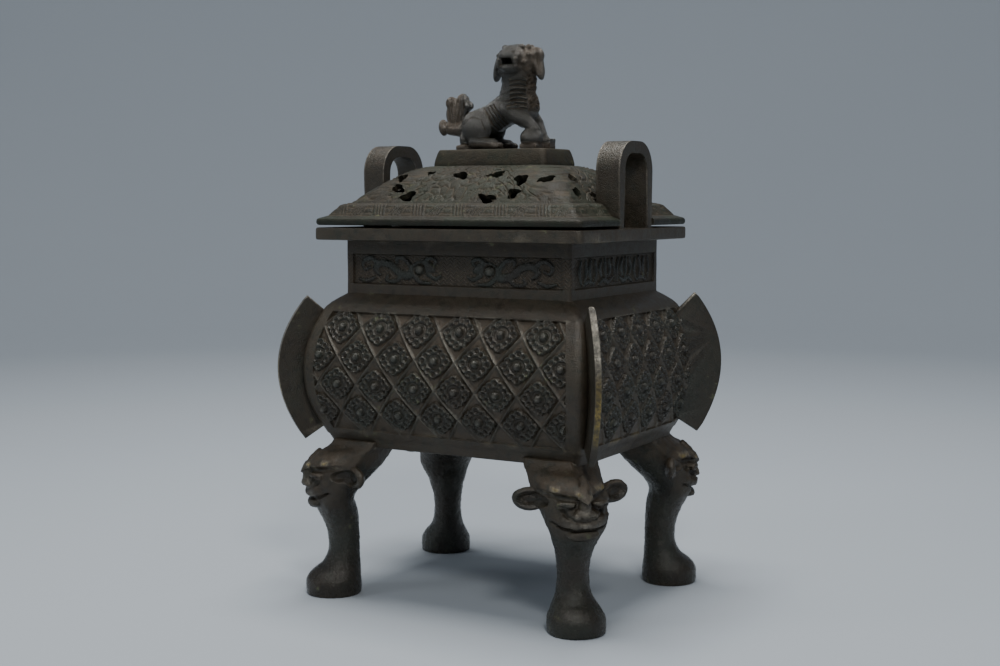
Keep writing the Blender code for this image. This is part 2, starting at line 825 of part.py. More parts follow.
def make_lion(material):
    """The lion sits along +X with its head turned to the front, a paw on a ball, tail raised."""
    bm = bmesh.new()
    limb(bm, ((-17, 0, 13, 9.0), (-6, 0, 17, 8.6), (6, 0, 24, 9.4), (9, 0, 33, 9.6), (9, 0, 41, 9.8)))
    blob(bm, (13, 0, 22), (7.4, 8.6, 11.0))
    blob(bm, (8.6, -1.0, 47.0), (12.2, 10.6, 9.4))
    blob(bm, (8.6, -9.6, 49.6), (7.4, 5.4, 3.8))
    blob(bm, (8.6, -8.8, 43.6), (6.6, 4.6, 2.8))
    blob(bm, (8.6, -6.0, 52.4), (9.6, 5.0, 3.2))
    for sign in (-1, 1):
        blob(bm, (8.6 + sign * 13.6, 0.6, 45.6), (2.6, 4.4, 8.0), turn=(0, sign * -10, 0))
        blob(bm, (8.6 + sign * 5.0, -10.0, 53.0), (2.4, 2.4, 2.0))
        blob(bm, (-13, sign * 7.6, 12.0), (9.4, 4.6, 9.0), turn=(0, 20, 0))
        blob(bm, (-7, sign * 8.4, 3.0), (9.0, 3.8, 3.4))
        blob(bm, (0.5, sign * 8.4, 2.6), (3.8, 4.0, 2.8))
    blob(bm, (-24, 0, 4.0), (4.2, 8.4, 5.0))
    limb(bm, ((7, -8, 21, 5.0), (13, -8, 16.5, 4.2), (19.5, -6.5, 13.5, 3.4), (21.5, -6, 10.5, 3.2)))
    limb(bm, ((14, 7, 20, 5.0), (21, 7, 14, 3.6), (23, 7, 6, 3.4), (25.5, 7, 3, 3.8)))
    blob(bm, (20.5, -5.5, 5.4), (6.4, 6.4, 6.0))
    box(bm, (15, -11, -2), (26, 0, 1.6))
    box(bm, (-27, -8, -2), (-4, 8, 1.6))
    limb(bm, ((-22, 0, 12, 4.0), (-29, 0, 13, 3.6), (-33, 0, 17, 3.6)))
    limb(bm, ((-31, 0, 15, 3.4), (-38, 0, 14, 2.8), (-42, 0, 17, 2.8), (-41.5, 0, 20, 2.2)))
    for x, top, lean in ((-37, 27, -8), (-31, 31, 4), (-25, 28, 18)):
        limb(bm, ((-31, 0, 15, 3.0), (x, 0, top, 3.0)))
        blob(bm, (x, 0, top), (3.4, 2.8, 3.6), turn=(0, lean, 0))
    for row in range(4):
        for column in range(5):
            angle = math.radians(-60 + 60 * column)
            z = 39 - 5.2 * row
            radius = 9.4 - 0.2 * row
            spot = (9.5 + 0.8 * row + radius * math.sin(angle), -radius * math.cos(angle), z)
            blob(bm, spot, (2.0, 2.0, 2.0), subdivisions=2)
    lion = new_object("lion_knop", bm, material)
    remesh = lion.modifiers.new("fuse", "REMESH")
    remesh.mode = "VOXEL"
    remesh.voxel_size = 0.8
    remesh.use_smooth_shade = True
    smooth = lion.modifiers.new("soften", "SMOOTH")
    smooth.factor = 0.5
    smooth.iterations = 1
    reduce = lion.modifiers.new("facets", "DECIMATE")
    reduce.ratio = 0.019
    unit = lion_height / LION_DRAWN_HEIGHT
    plinth_top = rim_top + lid_lift + lid_flange_thickness + lid_band_height + dome_height + plinth_height
    lion.location = (0, 0, plinth_top + piece_gap)
    lion.scale = (unit, unit, unit)
    mouth = bmesh.new()
    box(mouth, (4.2, -20, 45.2), (13.0, -6, 47.6))
    box(mouth, (-60, -30, -10), (60, 30, 0))
    cuts = new_object("mouth and seat", mouth, helper=True)
    cuts.parent = lion
    boolean(lion, "DIFFERENCE", cuts)


clear_scene()
dark_bronze = bronze("dark bronze", (0.035, 0.032, 0.026), 0.5)
lid_bronze = bronze("lid bronze", (0.045, 0.038, 0.028), 0.55)
lion_bronze = bronze("lion bronze", (0.05, 0.036, 0.024), 0.4)
make_vessel(dark_bronze)
make_lid(lid_bronze)
make_lion(lion_bronze)
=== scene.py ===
"""Looks of a lidded bronze incense burner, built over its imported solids.

Metres, +Z up. The long side runs along X and the front faces -Y. Relief is worked out in millimetres.
"""

import math

import bmesh
import bpy
import numpy as np
from mathutils import Matrix, Vector, kdtree


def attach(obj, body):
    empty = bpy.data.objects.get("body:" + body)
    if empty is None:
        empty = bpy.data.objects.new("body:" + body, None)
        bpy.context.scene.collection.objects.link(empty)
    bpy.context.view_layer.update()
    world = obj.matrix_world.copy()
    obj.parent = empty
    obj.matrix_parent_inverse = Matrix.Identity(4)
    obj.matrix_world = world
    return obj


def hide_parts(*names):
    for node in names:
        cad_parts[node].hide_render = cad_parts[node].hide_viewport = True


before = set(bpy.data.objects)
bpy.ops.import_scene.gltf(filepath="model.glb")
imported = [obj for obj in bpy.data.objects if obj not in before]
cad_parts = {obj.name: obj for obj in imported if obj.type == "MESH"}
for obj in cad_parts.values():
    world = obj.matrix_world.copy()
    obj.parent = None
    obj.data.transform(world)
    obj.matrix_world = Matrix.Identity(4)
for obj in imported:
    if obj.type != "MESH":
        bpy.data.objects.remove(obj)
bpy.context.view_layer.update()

# Vessel: one bronze casting. The hollow body has straight walls that swell towards the middle,
# with a diaper of quatrefoils in a sunk panel on each side, and a neck with dragons and leaves on
# a fret ground. Its flat rim carries the two loop handles, cast with it.
mm = 0.001
rim_length = 0.162
rim_width = 0.132
rim_top = 0.202
rim_thickness = 0.0067
rim_corner = 0.003
mouth_wall = 0.0045
neck_length = 0.1376
neck_width = 0.1064
neck_foot = 0.1665
neck_corner = 0.002
neck_panel_margin = 0.0045
neck_panel_low = 0.1715
neck_panel_high = 0.1878
neck_panel_depth = 0.0012
belly_foot = 0.0832
belly_foot_length = 0.151
belly_foot_width = 0.1166
belly_panel_low = 0.0925
belly_panel_high = 0.157
belly_edge_length = 0.1592
belly_edge_width = 0.1252
belly_swell_long = 0.0058
belly_swell_short = 0.0108
belly_corner = 0.004
belly_panel_margin = 0.0085
belly_panel_depth = 0.001
belly_wall = 0.0045
panel_draft = 0.0004


def ramp(value, start, end):
    """0 before start, 1 after end, and a smooth step between."""
    share = np.clip((value - start) / (end - start), 0, 1)
    return share * share * (3 - 2 * share)


def ridge(value, centre, width):
    return np.exp(-(((value - centre) / width) ** 2))


def lumps(points, size, seed):
    """Smooth random lumps of about this size, from -1 to 1, for the unevenness of a casting."""
    grid = points / size + 1000.0
    cell = np.floor(grid).astype(np.int64)
    inside = grid - cell
    inside = inside * inside * (3 - 2 * inside)
    total = np.zeros(len(points))
    for corner in range(8):
        step = np.array([corner & 1, (corner >> 1) & 1, corner >> 2])
        key = (cell + step) @ np.array([73856093, 19349663, 83492791]) + seed * 2654435761
        key = (key ^ (key >> 13)) * 1274126177
        value = ((key ^ (key >> 16)) & 0xFFFF) / 32767.5 - 1
        weight = np.where(step, inside, 1 - inside).prod(axis=1)
        total += weight * value
    return total


def stroke(u, v, path, widths):
    """A raised line through points (u, v), round in section: 1 along its middle, 0 outside it."""
    height = np.zeros_like(u)
    for (au, av), (bu, bv), aw, bw in zip(path, path[1:], widths, widths[1:]):
        run_u = bu - au
        run_v = bv - av
        share = np.clip(((u - au) * run_u + (v - av) * run_v) / (run_u**2 + run_v**2), 0, 1)
        away = np.hypot(u - au - share * run_u, v - av - share * run_v)
        half = (aw + (bw - aw) * share) / 2
        height = np.maximum(height, np.sqrt(np.clip(1 - (away / half) ** 2, 0, 1)))
    return height


def belly_half(z):
    """Half length and half width of the belly at height z."""
    if z <= belly_panel_low:
        share = (z - belly_foot) / (belly_panel_low - belly_foot)
        half_x = belly_foot_length + (belly_edge_length - belly_foot_length) * share
        half_y = belly_foot_width + (belly_edge_width - belly_foot_width) * share
        return half_x / 2, half_y / 2
    if z <= belly_panel_high:
        middle = (belly_panel_low + belly_panel_high) / 2
        swell = 1 - ((z - middle) / (belly_panel_high - middle)) ** 2
        half_x = belly_edge_length / 2 + belly_swell_long * swell
        return half_x, belly_edge_width / 2 + belly_swell_short * swell
    share = (z - belly_panel_high) / (neck_foot - belly_panel_high)
    rounded = 1 - math.cos(share * math.pi / 2)
    half_x = belly_edge_length + (neck_length - belly_edge_length) * (0.35 * share + 0.65 * rounded)
    half_y = belly_edge_width + (neck_width - belly_edge_width) * (0.35 * share + 0.65 * rounded)
    return half_x / 2, half_y / 2


class Walls:
    """Level rings of one four-sided wall, from the bottom up, that a relief can then push out or in.

    Side 0 faces the front, 1 the right, 2 the back and 3 the left. On each side the columns keep to
    the edges of its panel. Points between the sides round the corners.
    """

    def __init__(self, panel_cells, border_cells, corner_cells):
        self.columns = []
        self.corner_cells = corner_cells
        self.strips = []
        for cells in panel_cells:
            columns = [(-1 + i / border_cells, -i / border_cells, 0) for i in range(border_cells + 1)]
            columns += [(0, 0, -1 + 2 * i / cells) for i in range(cells + 1)]
            columns += [(i / border_cells, 1 - i / border_cells, 0) for i in range(border_cells + 1)]
            self.columns.append(np.array(columns))

    def ring(self, half_x, half_y, corner, z, margin, slope=(0.0, 0.0)):
        """Adds a level. slope is how fast the half length and the half width grow with height."""
        level = np.array([0, 0, z])
        for side in range(4):
            angle = math.radians(-90 + 90 * side)
            outward = np.array([math.cos(angle), math.sin(angle), 0])
            along = np.array([-outward[1], outward[0], 0])
            half = (half_x, half_y)[side % 2]
            distance = (half_y, half_x)[side % 2]
            lean = (slope[1], slope[0])[side % 2]
            reach = np.array([half - corner, half - margin, half - margin - panel_draft])
            u = self.columns[side] @ reach
            points = outward * distance + along * u[:, None] + level
            tilted = (outward - np.array([0, 0, lean])) / math.hypot(1, lean)
            inside = np.abs(self.columns[side][:, 2]) > 0
            inside[len(u) // 2] = True
            self.strips.append((points, np.tile(tilted, (len(u), 1)), np.full(len(u), side), u, inside))
            centre = outward * (distance - corner) + along * (half - corner) + level
            for i in range(1, self.corner_cells):
                turn = math.pi / 2 * i / self.corner_cells
                round_off = outward * math.cos(turn) + along * math.sin(turn)
                self.strips.append(([centre + corner * round_off], [round_off], [side], [half], [False]))

    def gather(self):
        """Lays the levels out as arrays, with a row for each."""
        count = sum(len(c) for c in self.columns) + 4 * (self.corner_cells - 1)
        points, normals, side, u, inside = (np.concatenate(kept) for kept in zip(*self.strips))
        self.points = points.reshape(-1, count, 3)
        self.normals = normals.reshape(-1, count, 3)
        self.side, self.u, self.inside = (kept.reshape(-1, count) for kept in (side, u, inside))

    def faces(self, closed=True):
        rows, count = self.u.shape
        faces = []
        for row in range(rows - 1):
            low = row * count
            for i in range(count):
                j = (i + 1) % count
                faces.append((low + i, low + j, low + count + j, low + count + i))
        if closed:
            faces.append(tuple(reversed(range(count))))
            faces.append(tuple(range((rows - 1) * count, rows * count)))
        return faces


def placed(name, data):
    made = bpy.data.objects.new(name, data)
    bpy.context.scene.collection.objects.link(made)
    return made


def made_object(name, points, faces):
    mesh = bpy.data.meshes.new(name)
    mesh.from_pydata([tuple(p) for p in points], [], faces)
    mesh.validate()
    return placed(name, mesh)


def bmesh_object(name, bm):
    bmesh.ops.recalc_face_normals(bm, faces=bm.faces)
    mesh = bpy.data.meshes.new(name)
    bm.to_mesh(mesh)
    bm.free()
    return placed(name, mesh)


def settle(source):
    """Applies an object's modifiers to its mesh."""
    bpy.context.view_layer.update()
    graph = bpy.context.evaluated_depsgraph_get()
    mesh = bpy.data.meshes.new_from_object(source.evaluated_get(graph))
    source.modifiers.clear()
    source.data = mesh
    return source


def world_points(piece):
    """The piece's points in space and the marks that they carry."""
    count = len(piece.data.vertices)
    points = np.empty(count * 3)
    piece.data.vertices.foreach_get("co", points)
    marks = np.zeros(count * 4)
    if "patina" in piece.data.attributes:
        piece.data.attributes["patina"].data.foreach_get("color", marks)
    matrix = np.array(piece.matrix_world)
    return points.reshape(-1, 3) @ matrix[:3, :3].T + matrix[:3, 3], marks.reshape(-1, 4)


def combine(target, operation, tools):
    """Joins the tools to a casting, or cuts them out of it, and keeps the marks of the nearest points."""
    bpy.context.view_layer.update()
    gathered = [world_points(piece) for piece in [target] + tools]
    points = np.concatenate([pair[0] for pair in gathered])
    marks = np.concatenate([pair[1] for pair in gathered])
    for tool in tools:
        step = target.modifiers.new(tool.name, "BOOLEAN")
        step.operation = operation
        step.solver = "MANIFOLD"
        step.object = tool
    settle(target)
    for tool in tools:
        bpy.data.objects.remove(tool, do_unlink=True)
    nearest = kdtree.KDTree(len(points))
    for i, point in enumerate(points):
        nearest.insert(point, i)
    nearest.balance()
    made = world_points(target)[0]
    kept = np.array([marks[nearest.find(point)[1]] for point in made])
    mark(target, *kept.T)


def mark(piece, soiled=0.0, rubbed_and_highlight=0.0, brassy=0.0, carved=0.0):
    """Writes where earth lies, where the metal is rubbed bare and where it bears a painted highlight (one
    channel), where it shows yellow, and the relief.
    """
    if "patina" in piece.data.attributes:
        piece.data.attributes.remove(piece.data.attributes["patina"])
    marks = piece.data.attributes.new("patina", "FLOAT_COLOR", "POINT")
    values = np.empty((len(piece.data.vertices), 4))
    for channel, value in enumerate((soiled, rubbed_and_highlight, brassy, carved)):
        values[:, channel] = value
    marks.data.foreach_set("color", values.ravel())


def thinned(piece, share):
    """Leaves this share of the faces, most of them where the surface is carved."""
    thin = piece.modifiers.new("thin", "DECIMATE")
    thin.ratio = share
    return settle(piece)


def finish_surface(piece, degrees):
    """Smooth shading, kept sharp where two faces meet at more than this angle."""
    piece.data.shade_smooth()
    piece.data.set_sharp_from_angle(angle=math.radians(degrees))
    weighted = piece.modifiers.new("flat faces", "WEIGHTED_NORMAL")
    weighted.keep_sharp = True
    settle(piece)


motif_pitch = (24.5, 21.8)
motif_first_row = 149.2
motif_row_pitch = 15.1
motif_rows = 4
motif_stretch = 0.88
motif_height = 1.45
lobe_out = 7.2
lobe_radius = 2.7
scallop_out = 5.4
scallop_aside = 3.0
scallop_radius = 2.5
core_radius = 5.8
boss_radius = 2.2
boss_height = 2.1
lattice_height = 1.15
lattice_width = 0.8


def quatrefoil(a, b):
    """One motif at (a, b) from its middle: scalloped lobes with a double edge, petals and a boss.

    Gives its height, the distance out of its edge, and how deep its grooves are.
    """
    raw_b = b
    b = b / motif_stretch
    right = np.abs(a)
    up = np.abs(b)
    on_side = right > up
    out = np.where(on_side, right, up)
    aside = np.where(on_side, up, right)
    edge = np.hypot(out - lobe_out, aside) - lobe_radius
    edge = np.minimum(edge, np.hypot(out - scallop_out, aside - scallop_aside) - scallop_radius)
    edge = np.minimum(edge, np.hypot(right, up) - core_radius)
    plate = motif_height * ramp(edge, 0.4, -0.4) + 0.25 * ridge(edge, -0.7, 0.5)
    groove = ridge(edge, -1.9, 0.6)
    groove = np.maximum(groove, 0.6 * ridge(out - aside, 0, 0.7) * (edge < -2.2))
    away = np.hypot(a, raw_b)
    groove = np.maximum(groove, ridge(away, boss_radius + 0.5, 0.55))
    groove *= away > boss_radius
    plate -= 0.95 * groove * (edge < 0)
    dome = np.sqrt(np.clip(1 - (away / boss_radius) ** 2, 0, 1)) * boss_height
    return np.where(away < boss_radius, motif_height - 0.4 + dome, plate), edge, groove


def diaper(u, z, pitch, count):
    """Staggered rows of quatrefoils with a lattice of broad ridges between them.

    Gives the height, the earth that lies in it, and how far its high edges are rubbed, with a painted
    highlight added along one diagonal of the lattice.
    """
    height = np.zeros_like(u)
    nearest = np.full_like(u, 9.0)
    grooves = np.zeros_like(u)
    rubbed_and_highlight = np.zeros_like(u)
    for row in range(motif_rows):
        v = z - (motif_first_row - motif_row_pitch * row)
        shift = pitch / 2 if (count - row) % 2 == 0 else 0.0
        a = (u - shift + pitch / 2) % pitch - pitch / 2
        motif, edge, groove = quatrefoil(a, v)
        here = edge < 0.35
        height = np.where(here, np.maximum(height, motif), height)
        grooves = np.where(here, groove, grooves)
        away = np.hypot(a, v)
        rubbed_and_highlight += 0.1 * ridge(edge, -0.5, 0.4) + 0.22 * ridge(away, 0, 1.2)
        nearest = np.minimum(nearest, edge)
    across = (u - (pitch / 2 if count % 2 == 0 else 0.0)) / pitch
    along = (motif_first_row - z) / (2 * motif_row_pitch)
    steep = math.hypot(1 / pitch, 0.5 / motif_row_pitch)
    strips = np.zeros_like(u)
    # Both diagonals of the lattice are rubbed; the larger share on the strips that run from upper left to
    # lower right is painted highlight.
    for line, bright in ((across + along, 0.14), (across - along, 0.32)):
        from_line = np.abs((line % 1) - 0.5) / steep
        strip = ridge(from_line, 0, lattice_width) * ramp(nearest, 0.0, 0.8)
        height = np.maximum(height, lattice_height * strip)
        strips = np.maximum(strips, strip)
        worn_and_highlight = 0.35 + 0.65 * ramp(np.sin(u * 0.31 + z * 0.17) + np.sin(u * 0.13 - z * 0.29), -0.6, 1.2)
        rubbed_and_highlight = np.maximum(rubbed_and_highlight, bright * strip * worn_and_highlight)
    top = motif_first_row + 3
    height -= 0.7 * ramp(nearest, 0.1, 0.9) * ramp(z, top, top + 3)
    height -= 0.35 * ridge(nearest, 0.3, 0.35)
    soiled = ramp(nearest, -0.15, 0.35) * (1 - 0.75 * strips) + 0.45 * grooves
    return height, np.clip(soiled, 0, 1), np.clip(rubbed_and_highlight, 0, 1)


dragon_body = [
    (13, 0.5), (18, 2.2), (24, 0.6), (29, -3.0), (35, -1.4), (40, 2.4), (46, 3.4), (50, 0.4), (47, -2.6)
]
dragon_body_widths = [3.4, 7.4, 6.6, 5.0, 4.6, 4.6, 4.4, 3.6, 2.2]
dragon_parts = (
    ([(19, 4.0), (15.6, 6.6), (11.4, 5.6), (12.0, 3.6)], [3.0, 2.6, 2.4, 2.0]),
    ([(16, -1.8), (11.6, -4.2), (8.4, -2.6)], [3.0, 2.6, 1.8]),
    ([(25, -2.2), (21.6, -6.0), (15.0, -6.6)], [3.6, 3.0, 1.8]),
    ([(27, 1.4), (31, 5.8), (36.0, 6.2), (36.0, 3.8)], [3.0, 3.0, 2.6, 2.0]),
    ([(33, -3.2), (37.0, -6.2), (42.6, -5.6), (41.6, -3.0)], [3.2, 2.8, 2.4, 1.8]),
    ([(48, 3.0), (53.0, 6.2), (58.0, 3.6), (56.6, -0.2), (53.4, 1.0)], [3.2, 3.0, 2.6, 2.2, 1.8]),
    ([(50, -4.4), (55, -6.2), (60.2, -5.4)], [2.0, 2.8, 1.8]),
)
leaf_parts = (
    ([(1.8, -5.6), (1.4, 0.5), (3.6, 6.2)], [1.6, 2.6, 1.8]),
    ([(8.6, 6.0), (6.6, 1.5), (8.6, -2.4)], [1.8, 3.8, 2.2]),
    ([(12.8, 6.4), (12.6, 1.0), (11.6, -3.0)], [2.0, 3.2, 2.0]),
    ([(16.8, 5.8), (19.0, 1.6), (17.0, -2.0)], [1.8, 3.4, 2.0]),
    ([(4.4, -3.6), (9.6, -5.8), (14.6, -4.2), (20.0, -6.4)], [2.0, 3.0, 2.8, 1.8]),
    ([(24.4, 6.0), (22.8, 0.0), (25.4, -5.4)], [1.8, 3.0, 1.8]),
    ([(29.0, 6.4), (30.8, 1.0), (29.0, -3.6)], [2.0, 3.6, 2.0]),
    ([(35.0, 6.0), (34.2, 0.6), (36.2, -4.4)], [1.8, 3.2, 2.0]),
    ([(25.8, -6.0), (31.6, -4.6), (37.4, -6.4)], [1.8, 2.8, 1.8]),
    ([(40.4, 6.0), (41.8, 0.0), (39.8, -5.4)], [1.8, 2.8, 1.8]),
)
dragon_head = (21.5, 0.4)
dragon_head_radius = 3.0
neck_relief_height = 1.2


def eased(path, widths):
    """The same line through more points, without corners."""
    points = [path[0]] + list(path) + [path[-1]]
    spots = []
    sizes = []
    for i in range(len(path) - 1):
        p0, p1, p2, p3 = (np.array(p, float) for p in points[i : i + 4])
        for t in (0.0, 0.33, 0.67):
            bend = 2 * p1 + (p2 - p0) * t + (2 * p0 - 5 * p1 + 4 * p2 - p3) * t**2
            spots.append(tuple((bend + (3 * p1 - p0 - 3 * p2 + p3) * t**3) / 2))
            sizes.append(widths[i] + (widths[i + 1] - widths[i]) * t)
    return spots + [tuple(path[-1])], sizes + [widths[-1]]


def neck_relief(u, v, long_side):
    """Confronted dragons with round heads on the long sides, upright leaves on the short ones.

    Gives the height, the earth that lies in it and how far its high edges are rubbed.
    """
    across = np.abs(u)
    height = np.zeros_like(u)
    if long_side:
        height = 0.95 * stroke(across, v, *eased(dragon_body, dragon_body_widths))
    for path, widths in dragon_parts if long_side else leaf_parts:
        height = np.maximum(height, 0.8 * stroke(across, v, *eased(path, widths)))
    if long_side:
        head = np.hypot(across - dragon_head[0], v - dragon_head[1])
        height = np.where(head < 4.6, height * ramp(head, 2.9, 4.4), height)
        height = np.maximum(height, 2.0 * np.sqrt(np.clip(1 - (head / dragon_head_radius) ** 2, 0, 1)))
    ground = 1 - ramp(height, 0.05, 0.4)
    return neck_relief_height * height, ground, 0.1 * ramp(height, 0.8, 1.9)


shell_cells = (330, 250, 150, 120)
belly_levels = 134
neck_levels = 36
shell_faces_kept = 0.35


def make_shell():
    walls = Walls(shell_cells, 4, 4)
    belly_rows = np.linspace(belly_panel_low + panel_draft, belly_panel_high - panel_draft, belly_levels)
    neck_rows = np.linspace(neck_panel_low + panel_draft, neck_panel_high - panel_draft, neck_levels)
    kinds = []

    def belly_ring(z, kind, inset=0.0):
        half_x, half_y = belly_half(z)
        step = 0.2 * mm
        high = belly_half(min(z + step, belly_panel_high))
        low = belly_half(max(min(z, belly_panel_high) - step, belly_foot))
        slope = ((high[0] - low[0]) / (2 * step), (high[1] - low[1]) / (2 * step))
        if kind != "belly":
            slope = (0.0, 0.0)
        walls.ring(half_x - inset, half_y - inset, belly_corner, z, belly_panel_margin, slope)
        kinds.append(kind)

    belly_ring(belly_foot, "plain", 0.9 * mm)
    belly_ring(belly_foot + 0.25 * mm, "plain", 0.3 * mm)
    for z in (0.9, 2.6, 4.4, 5.9, 6.5, 7.4, 8.4, 9.3):
        belly_ring(belly_foot + z * mm, "plain", 0.45 * mm if z in (2.6, 4.4, 5.9) else 0.0)
    for z in belly_rows:
        belly_ring(z, "belly")
    rise = neck_foot - belly_panel_high
    for share in (0.0, 0.06, 0.14, 0.26, 0.4, 0.55, 0.7, 0.84, 0.95):
        belly_ring(belly_panel_high + rise * share, "plain")

    def neck_ring(z, kind):
        walls.ring(neck_length / 2, neck_width / 2, neck_corner, z, neck_panel_margin)
        kinds.append(kind)

    for z in (neck_foot, neck_foot + 1.6 * mm, neck_foot + 3.4 * mm, neck_panel_low):
        neck_ring(z, "plain")
    for z in neck_rows:
        neck_ring(z, "neck")
    under_rim = rim_top - rim_thickness
    for z in (neck_panel_high, neck_panel_high + 2.2 * mm, neck_panel_high + 4.6 * mm, under_rim):
        neck_ring(z, "plain")
    bevel = rim_thickness / 6
    rim = ((0, 0.8), (0.25, 0.2), (1.0, 0), (2.0, 0), (4.0, 0), (5.0, 0), (5.75, 0.2), (6.0, 0.8))
    for up, inset in rim:
        z = under_rim + up * bevel
        half_x = rim_length / 2 - inset * bevel
        walls.ring(half_x, rim_width / 2 - inset * bevel, rim_corner, z, neck_panel_margin)
        kinds.append("plain")
    mouth_x = neck_length / 2 - mouth_wall
    mouth_y = neck_width / 2 - mouth_wall
    walls.ring(rim_length / 2 - 6 * mm, rim_width / 2 - 6 * mm, rim_corner, rim_top, neck_panel_margin)
    kinds.append("plain")
    mouth_bevel = 0.4 * mm
    for z in (rim_top, rim_top - mouth_bevel, rim_top - 10 * mm, neck_foot):
        inset = mouth_bevel if z < rim_top else 0.0
        half_x = mouth_x + mouth_bevel - inset
        walls.ring(half_x, mouth_y + mouth_bevel - inset, neck_corner, z, neck_panel_margin)
        kinds.append("inner")
    floor = belly_foot + belly_wall
    top = belly_panel_high - belly_wall / 2
    for share in (0.0, 0.2, 0.4, 0.6, 0.8, 1.0):
        z = top + (floor - top) * share
        half_x, half_y = belly_half(z)
        walls.ring(half_x - belly_wall, half_y - belly_wall, belly_corner, z, belly_panel_margin)
        kinds.append("inner")
    walls.gather()

    kind = np.repeat(np.array(kinds)[:, None], walls.u.shape[1], axis=1)
    points = walls.points / mm
    u = walls.u / mm
    z = points[..., 2]
    height = np.zeros_like(u)
    soiled = np.where(kind == "inner", 0.8, 0.6)
    rubbed_and_highlight = np.zeros_like(u)
    for side in range(4):
        pitch = motif_pitch[side % 2]
        on_belly = (kind == "belly") & (walls.side == side) & walls.inside
        count = (6, 5)[side % 2]
        relief, earth, wear_and_highlight = diaper(u[on_belly], z[on_belly], pitch, count)
        height[on_belly] = relief - belly_panel_depth / mm
        soiled[on_belly] = earth
        rubbed_and_highlight[on_belly] = wear_and_highlight
        on_neck = (kind == "neck") & (walls.side == side) & walls.inside
        middle = (neck_panel_low + neck_panel_high) / 2 / mm
        relief, earth, wear_and_highlight = neck_relief(u[on_neck], z[on_neck] - middle, side % 2 == 0)
        height[on_neck] = relief - neck_panel_depth / mm
        soiled[on_neck] = 0.5 * earth
        rubbed_and_highlight[on_neck] = wear_and_highlight
    flat = points.reshape(-1, 3)
    height += 0.12 * lumps(flat, 6.0, 1).reshape(height.shape) * (kind != "inner")
    ledge = ridge(z, belly_panel_low / mm, 0.5) + 0.7 * ridge(z, belly_panel_high / mm, 0.4)
    rim_edge = ridge(z, (rim_top - rim_thickness) / mm + 0.7, 0.9) * (kind == "plain")
    streaks = ramp(lumps(flat, 9.0, 3), 0.0, 0.4) * ramp(lumps(flat, 1.6, 9), -0.1, 0.4)
    streaks = streaks.reshape(z.shape)
    rubbed_and_highlight = np.maximum(rubbed_and_highlight, (0.6 * ledge + 0.4 * rim_edge) * streaks)
    points = points + walls.normals * height[..., None]
    shell = made_object("vessel", points.reshape(-1, 3) * mm, walls.faces())
    brassy = 0.7 * ridge(z, belly_panel_low / mm, 0.8) + 0.6 * rim_edge
    mark(shell, soiled.ravel(), rubbed_and_highlight.ravel(), brassy.ravel(), (kind != "inner").ravel())
    return thinned(shell, shell_faces_kept)


vessel = make_shell()

# Blades: the four thin crescents by the belly's corners, rooted in its short walls and cast with
# it. Each has a sharp free tip above and a blunt one below. Its outer edge shows yellow metal low down
# and, higher up, a pale line that is worn metal with a painted highlight.
blade_thickness = 0.0034
blade_reach = 0.01657
blade_top = 0.165
blade_bottom = 0.0863
blade_tip_length = 0.1728
blade_tip_width = 0.1298
blade_angle = math.radians(39)
blade_round = 0.0009


def arc_between(start, bulge, end, steps):
    """Points of the smooth curve from start to end that passes through bulge."""
    a, b, c = Vector(start), Vector(bulge), Vector(end)
    control = 2 * b - (a + c) / 2
    points = []
    for i in range(steps + 1):
        t = i / steps
        points.append((1 - t) ** 2 * a + 2 * t * (1 - t) * control + t**2 * c)
    return points


def rounded_plate(outline, place, thickness, round_off):
    """A plate with rounded edges on an outline (u, v), put in space by place(u, v, w)."""
    bm = bmesh.new()
    low = [bm.verts.new(place(p[0], p[1], -thickness / 2)) for p in outline]
    high = [bm.verts.new(place(p[0], p[1], thickness / 2)) for p in outline]
    rims = []
    for i in range(len(outline)):
        j = (i + 1) % len(outline)
        bm.faces.new((low[i], low[j], high[j], high[i]))
        rims.append((low[i], low[j]))
        rims.append((high[i], high[j]))
    bm.faces.new(list(reversed(low)))
    bm.faces.new(high)
    edges = [bm.edges.get(pair) for pair in rims]
    bmesh.ops.bevel(bm, geom=edges, offset=round_off, segments=2, affect="EDGES", profile=0.5)
    return bm


blades = []
middle = (blade_top + blade_bottom) / 2
tall = blade_top - blade_bottom
outline = arc_between(
    (0.0, blade_top),
    (blade_reach, middle + 0.04 * tall),
    (0.3 * blade_reach, middle - 0.45 * tall),
    30,
)
outline.append(Vector((0.13 * blade_reach, blade_bottom)))
for share in (-0.38, -0.28, -0.2, -0.1, 0.0, 0.12, 0.22, 0.3, 0.36):
    z = middle + share * tall
    root = belly_half(z)[0] - belly_wall / 2
    outline.append(Vector(((root - blade_tip_length / 2) / math.sin(blade_angle), z)))
for sign_x in (-1, 1):
    for sign_y in (-1, 1):
        tip = Vector((sign_x * blade_tip_length / 2, sign_y * blade_tip_width / 2, 0))
        outward = Vector((sign_x * math.sin(blade_angle), sign_y * math.cos(blade_angle), 0))
        aside = Vector((-outward.y, outward.x, 0))

        def place(u, v, w):
            return tip + outward * u + aside * w + Vector((0, 0, v))

        plate = rounded_plate(outline, place, blade_thickness, blade_round)
        blade = bmesh_object(f"blade {len(blades) + 1}", plate)
        spots = np.array([v.co for v in blade.data.vertices])
        off_plane = np.abs((spots - np.array(tip)) @ np.array(aside))
        reach = (spots - np.array(tip)) @ np.array(outward)
        on_edge = (off_plane < blade_thickness / 2 - 0.1 * mm) & (reach > -1 * mm)
        # The edge is rubbed from about 0.1 m up: yellow metal below about 0.13 m, and above it a pale
        # line that is worn metal with a painted highlight.
        bright = ramp(spots[:, 2], 0.092, 0.108)
        yellow = ramp(spots[:, 2], 0.138, 0.126)
        streaks = 0.3 + 0.5 * ramp(lumps(spots / mm, 3.0, 4), -0.3, 0.5)
        mark(blade, 0.35, on_edge * bright * streaks, on_edge * yellow)
        blades.append(blade)

